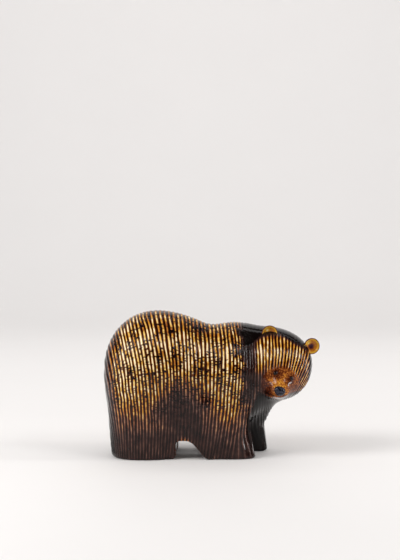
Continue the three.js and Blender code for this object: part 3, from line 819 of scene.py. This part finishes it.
def measures(places, outward):
    """What the regions of the glaze are laid out by: places, outward direction, and distances past borders.

    The crown's border falls away to the rear as a parabola and to the front as a line. The throat's rises
    ahead as a line and steps ahead at the toes. The jaw's falls as a line.
    """
    x, y, z = places.T
    behind = np.minimum(x - CROWN_LINE["rear"], 0)
    ahead = np.maximum(x - CROWN_LINE["front"], 0)
    crown = CROWN_LINE["height"] - CROWN_LINE["bend"] * behind ** 2 - CROWN_LINE["fall"] * ahead
    throat = THROAT_LINE["at"] + THROAT_LINE["slope"] * np.maximum(z - THROAT_LINE["above"], 0)
    throat += THROAT_LINE["toe"] * smoothstep(z, *THROAT_LINE["toe_span"])
    jaw = JAW_LINE["height"] - JAW_LINE["slope"] * (x - JAW_LINE["at"])
    ragged = sum(size * np.sin(pace * z + start) for size, pace, start in BORDER_WAVES)
    return dict(
        x=x, y=y, z=z, out_x=outward[:, 0], out_z=outward[:, 2], ragged_x=x + ragged,
        over_crown=z - crown, past_throat=x - throat, over_jaw=z - jaw, over_opening=across_depth(x, y, z))


def share_in(at, adds=1, spans=(), hills=()):
    """What a region adds at each place, given its measures: the product of its spans and hills."""
    share = adds
    for measure, begins, full in spans:
        share = share * smoothstep(at[measure], begins, full)
    for measure, middle, width in hills:
        share = share * bump(at[measure], middle, width)
    return share


def sum_of(regions, at):
    """What all regions of a table add together at each place."""
    return sum(share_in(at, **region) for region in regions.values())


def black_glaze_and_painted_shade(at):
    """Thick black glaze behind the cheek, and the most that any of the black regions adds; on the far fore
    leg and below the far cheek it is painted shade.
    """
    most = np.maximum.reduce([share_in(at, **region) for region in BLACK_REGIONS.values()])
    return share_in(at, **BEHIND_CHEEK) + most


def glaze_film(places, at):
    """Thickness of the glaze by region, 0 thin and pale to 1 pooled and black, before the pattern is added.

    A strip above the near edge of the opening across the figure is paler amber: the glaze ran thin over
    the edge, with a painted highlight along it. Other regions also hold painted highlight and painted shade.
    """
    film = THINNEST + sum_of(FILM_AND_PAINTED_LIGHT_REGIONS, at)
    film += (GLOW_FILM - film) * share_in(at, **GLOW)
    return np.clip(film + black_glaze_and_painted_shade(at) + face_film(places), 0, THICKEST)


def face_film(places):
    """Honey brown on the face: golden on top of the muzzle, darker round the eyes and below left of the nose.
    """
    forward, sideways, up = into_head(places.T)
    face = 1 - off_face(places)
    film = FACE_FILM["face"] + sum_of(FACE_REGIONS, dict(sideways=sideways, up=up))
    for side in (-1, 1):
        away = np.hypot(sideways - EYE["middle"] - side * EYE["sideways"], up - EYE["up"])
        film += FACE_FILM["eyes"] * bump(away, 0, FACE_FILM["eye_width"])
    beside = FACE_FILM["beside"] * smoothstep(from_face(places), *FACE_FILM["beside_span"])
    return (film * face + beside * (1 - face)) * smoothstep(forward, *FACE_FILM["ahead"])


def add(tree, kind, inputs=None, stops=None, output=0, **settings):
    """Adds a node with its settings, and gives one of its outputs.

    inputs maps a socket's name or number to a value or to an output that is linked to it; stops are a ramp's
    places and colours.
    """
    node = tree.nodes.new(kind)
    for key, value in settings.items():
        setattr(node, key, value)
    for key, value in (inputs or {}).items():
        if isinstance(value, bpy.types.NodeSocket):
            tree.links.new(value, node.inputs[key])
        else:
            node.inputs[key].default_value = value
    for i, (place, colour) in enumerate(stops or []):
        element = node.color_ramp.elements[i] if i < 2 else node.color_ramp.elements.new(place)
        element.position = place
        element.color = colour
    return node.outputs[output]


def per_metre(size):
    """Scale of a noise whose lumps have a size in millimetres."""
    return 1 / (size * MM)


def new_material(name):
    """Material with nodes, and its tree; one of the same name from an earlier run goes first."""
    old = bpy.data.materials.get(name)
    if old:
        bpy.data.materials.remove(old)
    material = bpy.data.materials.new(name)
    material.use_nodes = True
    return material, material.node_tree


def finish_surface(tree, colour, height, sockets, strength, depth):
    """Gives the shader its colour, its relief of a depth in millimetres, and what is the same all over."""
    shader = tree.nodes["Principled BSDF"]
    bumps = add(tree, "ShaderNodeBump", {"Strength": strength, "Distance": depth * MM, "Height": height})
    tree.links.new(colour, shader.inputs["Base Color"])
    tree.links.new(bumps, shader.inputs["Normal"])
    for socket, value in sockets.items():
        shader.inputs[socket].default_value = value


# Gloss of a fired glaze: glass of index 1.5, smooth to the touch but slightly wavy, which softens reflections
GLOSS = {"Roughness": 0.09, "IOR": 1.5, "Specular IOR Level": 0.22}

# Honey glaze from thin to pooled: its place on the ramp of thickness, and its colour
HONEY = {
    "thin": (0.03, "faebc2"),
    "straw": (0.11, "eecb72"),
    "honey": (0.22, "d4942e"),
    "amber": (0.35, "a8642a"),
    "chestnut": (0.48, "70391a"),
    "maroon": (0.61, "431a0b"),
    "dark": (0.8, "2a0f08"),
    "pooled": (0.96, "0c0504"),
}
# Ramp of the ears' glaze; its palest stop gives the painted highlight in the cup
EAR_HONEY = (
    (0.06, "f4e0b0"), (0.22, "dcb23a"), (0.4, "cf8526"), (0.6, "8a4a20"), (0.8, "4a2032"), (1.0, "140c0a"),
)


def ridge_tone(tree, line, girth):
    """Each ridge has a tone of its own, which drifts along it over the tone length."""
    ridge = add(tree, "ShaderNodeMath", {0: line}, operation="FLOOR")
    row = add(tree, "ShaderNodeMath", {0: ridge, 1: TONE["stride"]}, operation="MULTIPLY")
    along = add(tree, "ShaderNodeMath", {0: girth, 1: 1 / TONE_LENGTH}, operation="MULTIPLY")
    strip = add(tree, "ShaderNodeCombineXYZ", {0: row, 1: along})
    return add(tree, "ShaderNodeTexNoise", {"Vector": strip, "Scale": 1.0, "Detail": 2.0},
               noise_dimensions="2D")


def groove_pattern(tree, line, tone, ragged, film):
    """Dark where the line number is near a whole one; the tone and thicker glaze move the groove's edge."""
    beside = add(tree, "ShaderNodeMath", {0: line, 1: 0.5}, operation="PINGPONG")
    shift = add(tree, "ShaderNodeMath", {0: tone, 1: ragged}, operation="ADD")
    edge = add(tree, "ShaderNodeMath", {0: shift, 1: GROOVE_EDGE["ragged"], 2: beside},
               operation="MULTIPLY_ADD")
    widened = add(tree, "ShaderNodeMath", {0: film, 1: GROOVE_EDGE["film"], 2: edge},
                  operation="MULTIPLY_ADD")
    shades = {1: GROOVE_DARK["full"], 2: GROOVE_DARK["none"], 3: GROOVE_DARK["adds"], 4: 0.0}
    return add(tree, "ShaderNodeMapRange", {0: widened, **shades}, interpolation_type="SMOOTHSTEP")


def nick_pattern(tree, line, girth, patch):
    """Ragged dark crossings of the ridges, about 1 mm wide, where the glaze crawled, crowded in patches."""
    across = add(tree, "ShaderNodeMath", {0: line, 1: NICKS["lines"]}, operation="MULTIPLY")
    along = add(tree, "ShaderNodeMath", {0: girth, 1: 1 / NICK_WIDTH}, operation="MULTIPLY")
    strip = add(tree, "ShaderNodeCombineXYZ", {0: across, 1: along})
    crossings = add(tree, "ShaderNodeTexNoise", {"Vector": strip, "Scale": NICKS["scale"], "Detail": 3.0},
                    noise_dimensions="2D")
    by_region = add(tree, "ShaderNodeAttribute", output="Fac", attribute_name="nick_share")
    crowded = add(tree, "ShaderNodeMath", {0: patch, 1: NICKS["crowded"], 2: crossings},
                  operation="MULTIPLY_ADD")
    chosen = add(tree, "ShaderNodeMath", {0: crowded, 1: by_region}, operation="ADD")
    return add(tree, "ShaderNodeMapRange", {0: chosen, 1: NICKS["none"], 2: NICKS["full"]},
               interpolation_type="SMOOTHSTEP")


def fur_pattern(tree, tone, groove, nick, film):
    """Groove, nick and tone together; they count for less where the film is thick, but for a little tone."""
    carved = add(tree, "ShaderNodeMath", {0: nick, 1: NICKS["adds"], 2: groove}, operation="MULTIPLY_ADD")
    toned = add(tree, "ShaderNodeMath", {0: tone, 1: TONE["adds"], 2: carved}, operation="MULTIPLY_ADD")
    centred = add(tree, "ShaderNodeMath", {0: toned, 1: TONE["less"]}, operation="SUBTRACT")
    weight = add(tree, "ShaderNodeMath", {0: film, 1: LESS_FUR["slope"], 2: LESS_FUR["thin"]},
                 operation="MULTIPLY_ADD", use_clamp=True)
    drift = add(tree, "ShaderNodeMath", {0: tone, 1: DRIFT["adds"], 2: -DRIFT["less"]},
                operation="MULTIPLY_ADD")
    return add(tree, "ShaderNodeMath", {0: centred, 1: weight, 2: drift}, operation="MULTIPLY_ADD")


def carved_glaze(colours):
    """Honey glaze over carved stoneware: it runs off the ridges, pale, and pools in the grooves, near black.

    The film attribute gives the thickness by region, painted highlight and painted shade among the regions.
    The groove, tone and nick patterns add to it on the fur, and a fine grain from a stiff brush on the face,
    and a ramp turns the sum into colour, greyer where the fur's film is thick. One unit of the line number
    is 3.07 mm.
    """
    material, tree = new_material("honey_glazed_stoneware")
    line = add(tree, "ShaderNodeAttribute", output="Fac", attribute_name="line_number")
    girth = add(tree, "ShaderNodeAttribute", output="Fac", attribute_name="girth")
    region = add(tree, "ShaderNodeAttribute", output="Fac", attribute_name="glaze_film")
    fur = add(tree, "ShaderNodeAttribute", output="Fac", attribute_name="fur")
    place = add(tree, "ShaderNodeTexCoord", output="Object")
    patch = add(tree, "ShaderNodeTexNoise", {"Vector": place, "Scale": per_metre(PATCH_SIZE), "Detail": 1.0})
    ragged = add(tree, "ShaderNodeTexNoise", {"Vector": place, "Scale": per_metre(EDGE_SIZE), "Detail": 2.0})
    grain = add(tree, "ShaderNodeTexNoise", {"Vector": place, "Scale": per_metre(GRAIN_SIZE), "Detail": 3.0})

    # The film is uneven in patches
    patchy = add(tree, "ShaderNodeMath", {0: patch, 1: PATCHY["adds"], 2: region}, operation="MULTIPLY_ADD")
    film = add(tree, "ShaderNodeMath", {0: patchy, 1: PATCHY["less"]}, operation="SUBTRACT")
    tone = ridge_tone(tree, line, girth)
    groove = groove_pattern(tree, line, tone, ragged, film)
    nick = nick_pattern(tree, line, girth, patch)

    # Thickness, and the colour that it gives
    furred = fur_pattern(tree, tone, groove, nick, film)
    grainy = add(tree, "ShaderNodeMath", {0: grain, 1: GRAINY["adds"], 2: -GRAINY["less"]},
                 operation="MULTIPLY_ADD")
    pattern = add(tree, "ShaderNodeMix", {0: fur, 2: grainy, 3: furred}, data_type="FLOAT")
    thickness = add(tree, "ShaderNodeMath", {0: pattern, 1: film}, operation="ADD")
    on_ramp = add(tree, "ShaderNodeMath", {0: thickness, 1: ON_RAMP}, operation="MULTIPLY")
    full = add(tree, "ShaderNodeValToRGB", {0: on_ramp}, stops=colours)
    fur_film = add(tree, "ShaderNodeMath", {0: film, 1: fur}, operation="MULTIPLY")
    greying = {1: GREYER["begins"], 2: GREYER["full"], 3: 1.0, 4: GREYER["least"]}
    strength = add(tree, "ShaderNodeMapRange", {0: fur_film, **greying})
    colour = add(tree, "ShaderNodeHueSaturation", {"Saturation": strength, "Color": full})

    # Relief: the nicks sink about 0.25 mm, and the glaze is slightly uneven
    uneven = add(tree, "ShaderNodeMath", {0: ragged, 1: UNEVEN}, operation="MULTIPLY")
    relief = add(tree, "ShaderNodeMath", {0: nick, 1: NICKS["sinks"], 2: uneven}, operation="MULTIPLY_ADD")
    finish_surface(tree, colour, relief, GLOSS, strength=0.6, depth=0.3)
    return material


def bare_foot():
    """Bare fired stoneware on the undersides of the feet: wiped free of glaze, dry, pale brown and gritty."""
    material, tree = new_material("bare_stoneware")
    place = add(tree, "ShaderNodeTexCoord", output="Object")
    grit = add(tree, "ShaderNodeTexNoise", {"Vector": place, "Scale": per_metre(GRIT_SIZE), "Detail": 3.0})
    stops = ((0.35, linear("8d6a4b")), (0.65, linear("b9946c")))
    colour = add(tree, "ShaderNodeValToRGB", {0: grit}, stops=stops)
    finish_surface(tree, colour, grit, {"Roughness": 0.85}, strength=0.5, depth=0.2)
    return material


def ear_glaze():
    """The same honey glaze in the ears: golden in the cup with a pale painted highlight, purple brown where
    it pools, near black behind.
    """
    material, tree = new_material("honey_glaze_pooled_in_cup")
    film = add(tree, "ShaderNodeAttribute", output="Fac", attribute_name="glaze_film")
    place = add(tree, "ShaderNodeTexCoord", output="Object")
    cloud = add(tree, "ShaderNodeTexNoise", {"Vector": place, "Scale": per_metre(EAR_CLOUD), "Detail": 2.0})
    mixed = add(tree, "ShaderNodeMath", {0: cloud, 1: 0.3, 2: film}, operation="MULTIPLY_ADD")
    stops = [(at, linear(code)) for at, code in EAR_HONEY]
    colour = add(tree, "ShaderNodeValToRGB", {0: mixed}, stops=stops)
    finish_surface(tree, colour, cloud, GLOSS, strength=0.3, depth=0.3)
    return material


def dark_glaze(name, pale, deep):
    """Thick dark glaze brushed on the nose and eyes: almost black, wet looking, faintly mottled."""
    material, tree = new_material(name)
    place = add(tree, "ShaderNodeTexCoord", output="Object")
    cloud = add(tree, "ShaderNodeTexNoise", {"Vector": place, "Scale": per_metre(DARK_CLOUD), "Detail": 2.0})
    colour = add(tree, "ShaderNodeValToRGB", {0: cloud}, stops=((0.35, deep), (0.7, pale)))
    finish_surface(tree, colour, cloud, GLOSS, strength=0.25, depth=0.2)
    return material


def body_mesh(line_depth):
    """Rings of the skin in curved sheets, sunk at the lines, less the openings, their edges rounded."""
    ends = touching_end(REAR_SEARCH), touching_end(CHEEK_SEARCH)
    lines = round(line_length(ends) / LINE_PITCH)
    rings = lines * RINGS_PER_LINE
    stations = station_of((np.arange(rings) + 0.5) / rings, ends)
    grid = section_points(stations, ends)
    places = grid.reshape(-1, 3)
    ground = np.abs(places[:, 2]) < ON_GROUND
    places[ground, 2] = 0
    carved = carve(places, line_number(places, ends), line_depth)
    carved[ground] = places[ground]
    poles = [(sheet_x(*end), *end[1:]) for end in ends]
    mesh = cut_openings(closed_grid("bear_body", carved.reshape(grid.shape), *poles))
    mesh.name = "bear_body"
    mesh.materials.clear()
    places = round_openings(places_of(mesh))
    put_places(mesh, places)
    at = measures(places, outward_at(places))
    in_opening = np.minimum(at["over_opening"], along_depth(at["y"], at["z"]))
    put_value(mesh, "line_number", line_number(places, ends))
    put_value(mesh, "girth", girth_of(places))
    put_value(mesh, "glaze_film", glaze_film(places, at))
    put_value(mesh, "nick_share", sum_of(NICK_REGIONS, at))
    put_value(mesh, "fur", off_face(places) * smoothstep(in_opening, *OPENING_FADE))
    mesh.shade_smooth()
    return mesh


def bare_soles(mesh):
    """Gives the second material to the faces that lie on the ground."""
    corners = np.empty(len(mesh.loops), np.int32)
    mesh.loops.foreach_get("vertex_index", corners)
    starts = np.empty(len(mesh.polygons), np.int32)
    mesh.polygons.foreach_get("loop_start", starts)
    highest = np.maximum.reduceat(places_of(mesh)[corners, 2], starts)
    mesh.polygons.foreach_set("material_index", (highest < SOLE_HEIGHT).astype(np.int32))


def ear_profile(steps):
    """Half section of an ear: quarter ellipse up its back, half circle over the rim, quarter ellipse down."""
    quarter = np.linspace(0, math.pi / 2, steps)
    half = np.linspace(0, math.pi, steps)[1:-1]
    radius, depth, rim, hollow = CUP["radius"], CUP["depth"], CUP["rim"], CUP["hollow"]
    back = np.column_stack([radius * np.sin(quarter), -depth * np.cos(quarter)])
    middle = radius - rim / 2
    over = np.column_stack([middle + rim / 2 * np.cos(half), rim / 2 * np.sin(half)])
    inner = radius - rim
    inside = np.column_stack([inner * np.sin(quarter[::-1]), -hollow * np.cos(quarter[::-1])])
    return np.vstack([back, over, inside])


def ear_mesh(side):
    """Ear: its profile turned round an axis that faces ahead, outward and up."""
    profile = ear_profile(EAR_GRID[0])
    around = np.linspace(0, 2 * math.pi, EAR_GRID[1], endpoint=False)
    forward, sideways, up = EAR["at"]
    out, rise = np.tan(np.radians([EAR["turn_out"], EAR["turn_up"]]))
    facing = np.array([1, side * out, rise])
    facing /= np.linalg.norm(facing)
    across = np.cross([0, 0, 1], facing)
    across /= np.linalg.norm(across)
    over = np.cross(facing, across)
    radius, height = profile.T
    ring = np.cos(around)[:, None] * across + np.sin(around)[:, None] * over
    spots = radius[:, None, None] * ring + height[:, None, None] * facing
    spots = spots + np.array([forward, sideways + side * EAR["apart"], up])
    grid = from_head(spots[..., 0], spots[..., 1], spots[..., 2])
    mesh = closed_grid("ear", grid[1:-1], grid[0, 0], grid[-1, 0])
    film = ear_film_and_highlight(profile, around)
    put_value(mesh, "glaze_film", np.concatenate([film[1:-1].ravel(), film[[0, -1], 0]]))
    return mesh


def ear_film_and_highlight(profile, around):
    """Thickness of the glaze on an ear: thin in the cup with a painted highlight high in it, pooled low in
    it, thick on the edge and behind.
    """
    radius, height = profile.T[:, :, None]
    across, over = radius * np.cos(around), radius * np.sin(around)
    at = dict(radius=radius, behind=-height)
    for key, (sideways, up) in (("from_pool", EAR_FILM["pool_at"]), ("from_highlight", EAR_FILM["highlight_at"])):
        at[key] = np.hypot(across - sideways, over - up)
    in_cup = (np.arange(len(radius)) >= len(radius) // 2 - EAR_FILM["rim_rows"])[:, None]
    cup = EAR_FILM["cup"] + sum_of(EAR_REGIONS, at)
    return np.where(in_cup, cup, EAR_FILM["behind"] + share_in(at, **EAR_BACK))


def join_meshes(name, meshes):
    """One mesh of several, by joining helper objects."""
    objects = [new_object(f"{name}_{i}", mesh) for i, mesh in enumerate(meshes)]
    with bpy.context.temp_override(active_object=objects[0], selected_editable_objects=objects):
        bpy.ops.object.join()
    mesh = objects[0].data
    bpy.data.objects.remove(objects[0])
    mesh.name = name
    return mesh


def ball_mesh(at, half, taper=0):
    """Ball on the head by latitude and longitude, wider above and narrower below by the taper's share."""
    latitude = np.linspace(-math.pi / 2, math.pi / 2, BALL_GRID[0])[1:-1, None]
    longitude = np.linspace(0, 2 * math.pi, BALL_GRID[1], endpoint=False)[None, :]
    sideways = np.cos(latitude) * np.cos(longitude)
    up = np.cos(latitude) * np.sin(longitude)
    forward = np.sin(latitude) + 0 * longitude
    sideways = sideways * (1 + taper * up)
    spots = from_head(at[0] + half[0] * forward, at[1] + half[1] * sideways, at[2] + half[2] * up)
    poles = [from_head(at[0] + sign * half[0], at[1], at[2]) for sign in (-1, 1)]
    return closed_grid("ball", spots, *poles)


def face_ahead(sideways, up):
    """How far ahead of the head's middle the skin lies at a place on the face: by halving."""
    low, high = FACE_SEARCH
    for _ in range(STATION_HALVINGS):
        middle = (low + high) / 2
        if skin(*from_head(middle, sideways, up)) > 0:
            high = middle
        else:
            low = middle
    return low


def eye_mesh(side):
    """Eye on one side: a ball that stands a little proud of the skin of the face."""
    sideways = EYE["middle"] + side * EYE["sideways"]
    forward = face_ahead(sideways, EYE["up"]) + EYE["proud"] - EYE["radius"]
    return ball_mesh((forward, sideways, EYE["up"]), (EYE["radius"],) * 3)


def look_angles():
    """Degrees that the camera looks down and to its left, so that the target lands on its pixel."""
    focal = PIXELS_PER_MM * CAMERA_DISTANCE
    left = math.degrees(math.atan((TARGET_PIXEL[0] - PICTURE[0] / 2) / focal))
    up = math.degrees(math.atan((TARGET_PIXEL[1] - PICTURE[1] / 2) / focal))
    return CAMERA_ELEVATION - up, left


def make_camera():
    """Camera at its distance from the target, raised by its elevation; the lens gives the picture's scale."""
    data = bpy.data.cameras.new("camera")
    data.sensor_width = SENSOR_WIDTH
    data.lens = PIXELS_PER_MM * CAMERA_DISTANCE / max(PICTURE) * SENSOR_WIDTH
    data.clip_start, data.clip_end = SIGHT
    camera = new_object("camera", data)
    rise = math.radians(CAMERA_ELEVATION)
    away = np.array([0, -math.cos(rise), math.sin(rise)]) * CAMERA_DISTANCE
    camera.location = (np.array(TARGET) - np.array([*MIDDLE, 0]) + away) * MM
    down, left = look_angles()
    camera.rotation_euler = (math.radians(90 - down), 0, math.radians(left))
    bpy.context.scene.camera = camera


def make_floor(colour):
    """Pale paper sweep: level under the figure, then curving up into a wall behind it."""
    flat, radius = SWEEP["flat"], SWEEP["radius"]
    turn = np.linspace(0, math.pi / 2, SWEEP["steps"])
    level = np.array([[SWEEP["front"], 0], [flat, 0]])
    curve = np.column_stack([flat + radius * np.sin(turn), radius * (1 - np.cos(turn))])[1:]
    profile = np.vstack([level, curve, [[flat + radius, SWEEP["wall"]]]])
    points = [(side * SWEEP["half_width"], *spot) for side in (-1, 1) for spot in profile]
    rows = len(profile)
    faces = [(i + rows, i + rows + 1, i + 1, i) for i in range(rows - 1)]
    mesh = bpy.data.meshes.new("paper_sweep")
    mesh.from_pydata(points, [], faces)
    mesh.shade_smooth()
    mesh.materials.append(matt_paper(colour))
    new_object("paper_sweep", mesh)


def matt_paper(colour):
    """Uncoated studio paper: flat and pale, without gloss, very slightly cloudy."""
    material, tree = new_material("matt_paper")
    place = add(tree, "ShaderNodeTexCoord", output="Object")
    cloud = add(tree, "ShaderNodeTexNoise", {"Vector": place, "Scale": SWEEP["cloud"], "Detail": 2.0})
    pale = tuple(min(1, c * 1.01) for c in colour[:3]) + (1,)
    tint = add(tree, "ShaderNodeValToRGB", {0: cloud}, stops=((0.3, colour), (0.7, pale)))
    shader = tree.nodes["Principled BSDF"]
    tree.links.new(tint, shader.inputs["Base Color"])
    shader.inputs["Roughness"].default_value = 0.9
    shader.inputs["Specular IOR Level"].default_value = 0.1
    return material


def make_light(name, strength, place, size, power, target=AIM, colour=LAMP, mirrored=True, spread=180):
    """Soft box at a place, turned to a target, its light spread over so many degrees.

    It stays out of the camera's sight, and may be kept out of reflections.
    """
    data = bpy.data.lights.new(name, "AREA")
    data.shape = "RECTANGLE"
    data.size, data.size_y = size
    data.energy = power * strength
    data.color = colour
    data.spread = math.radians(spread)
    light = new_object(name, data)
    light.visible_glossy = mirrored
    light.visible_camera = False
    light.location = place
    away = np.array(place) - np.array(target)
    flat = math.hypot(away[0], away[1])
    light.rotation_euler = (math.atan2(flat, away[2]), 0, math.atan2(away[0], -away[1]))


def make_room():
    """Even light from all round, kept out of reflections."""
    world = bpy.data.worlds.new("room")
    bpy.context.scene.world = world
    world.use_nodes = True
    background = world.node_tree.nodes["Background"]
    background.inputs["Color"].default_value = linear(ROOM["code"])
    background.inputs["Strength"].default_value = ROOM["strength"]
    world.cycles_visibility.glossy = False


class BearBodySettings(bpy.types.PropertyGroup):
    """Sizes and colours of the carved body."""
    line_depth: bpy.props.FloatProperty(
        name="Line depth", description="Depth of the carved lines", default=0.5 * MM, min=0,
        unit="LENGTH", precision=5)
    thin: bpy.props.FloatVectorProperty(
        name="Thin glaze", description="Colour where the glaze is thinnest", default=linear(HONEY["thin"][1]),
        size=4, min=0, max=1, subtype="COLOR")
    honey: bpy.props.FloatVectorProperty(
        name="Honey", description="Colour of a medium coat", default=linear(HONEY["honey"][1]),
        size=4, min=0, max=1, subtype="COLOR")
    pooled: bpy.props.FloatVectorProperty(
        name="Pooled glaze", description="Colour in the grooves", default=linear(HONEY["pooled"][1]),
        size=4, min=0, max=1, subtype="COLOR")


class BearFaceSettings(bpy.types.PropertyGroup):
    """Colours of the nose and eyes."""
    nose: bpy.props.FloatVectorProperty(
        name="Nose", description="Paler tone of the nose", default=linear("3a3a48"),
        size=4, min=0, max=1, subtype="COLOR")
    eyes: bpy.props.FloatVectorProperty(
        name="Eyes", description="Paler tone of the eyes", default=linear("38201a"),
        size=4, min=0, max=1, subtype="COLOR")


class BearStageSettings(bpy.types.PropertyGroup):
    """Floor and light."""
    floor: bpy.props.FloatVectorProperty(
        name="Floor", description="Colour of the paper sweep", default=linear("ecebea"),
        size=4, min=0, max=1, subtype="COLOR")
    light: bpy.props.FloatProperty(
        name="Light", description="Strength of all soft boxes", default=1.0, min=0)


class BEAR_OT_body(bpy.types.Operator):
    """Makes the carved body with its legs, head and openings"""
    bl_idname = "bear.body"
    bl_label = "Body"

    def execute(self, context):
        settings = context.scene.bear_body
        colours = [(at, tuple(getattr(settings, name, linear(code)))) for name, (at, code) in HONEY.items()]
        mesh = body_mesh(settings.line_depth / MM)
        bear_piece("bear_body", mesh, carved_glaze(colours), bare_foot())
        bare_soles(mesh)
        return {"FINISHED"}


class BEAR_OT_ears(bpy.types.Operator):
    """Makes both cupped ears"""
    bl_idname = "bear.ears"
    bl_label = "Ears"

    def execute(self, context):
        bear_piece("bear_ears", join_meshes("bear_ears", [ear_mesh(-1), ear_mesh(1)]), ear_glaze())
        return {"FINISHED"}


class BEAR_OT_face(bpy.types.Operator):
    """Makes the nose and both eyes"""
    bl_idname = "bear.face"
    bl_label = "Nose and eyes"

    def execute(self, context):
        settings = context.scene.bear_face
        nose = dark_glaze("slate_glaze", tuple(settings.nose), linear("0c0c10"))
        bear_piece("bear_nose", ball_mesh(**NOSE), nose)
        eyes = dark_glaze("dark_brown_glaze", tuple(settings.eyes), linear("0a0605"))
        bear_piece("bear_eyes", join_meshes("bear_eyes", [eye_mesh(-1), eye_mesh(1)]), eyes)
        return {"FINISHED"}


class BEAR_OT_stage(bpy.types.Operator):
    """Makes the paper sweep, the soft boxes, the room and the camera"""
    bl_idname = "bear.stage"
    bl_label = "Stage"

    def execute(self, context):
        settings = context.scene.bear_stage
        make_floor(tuple(settings.floor))
        for name, box in SOFT_BOXES.items():
            make_light(name, settings.light, **box)
        make_room()
        make_camera()
        context.scene.view_settings.view_transform = "Standard"
        return {"FINISHED"}


class BEAR_PT_panel(bpy.types.Panel):
    """Lists the bear's pieces and their settings"""
    bl_label = "Carved ceramic bear"
    bl_space_type = "VIEW_3D"
    bl_region_type = "UI"
    bl_category = "Bear"

    def draw(self, context):
        scene = context.scene
        for settings in (scene.bear_body, scene.bear_face, scene.bear_stage):
            for key in settings.bl_rna.properties.keys():
                if key not in ("rna_type", "name"):
                    self.layout.prop(settings, key)
        for operator in OPERATORS:
            self.layout.operator(operator.bl_idname)


SETTINGS = (
    ("bear_body", BearBodySettings),
    ("bear_face", BearFaceSettings),
    ("bear_stage", BearStageSettings),
)
OPERATORS = (BEAR_OT_body, BEAR_OT_ears, BEAR_OT_face, BEAR_OT_stage)


def register():
    """Adds the settings, the operators and the panel."""
    for name, group in SETTINGS:
        bpy.utils.register_class(group)
        setattr(bpy.types.Scene, name, bpy.props.PointerProperty(type=group))
    for kind in (*OPERATORS, BEAR_PT_panel):
        bpy.utils.register_class(kind)


def unregister():
    """Takes them out again, last first."""
    for kind in (BEAR_PT_panel, *OPERATORS[::-1]):
        bpy.utils.unregister_class(kind)
    for name, group in SETTINGS[::-1]:
        delattr(bpy.types.Scene, name)
        bpy.utils.unregister_class(group)


def main():
    """Makes the figure and its stage."""
    register()
    bpy.ops.bear.body()
    bpy.ops.bear.ears()
    bpy.ops.bear.face()
    bpy.ops.bear.stage()


if __name__ == "__main__":
    main()
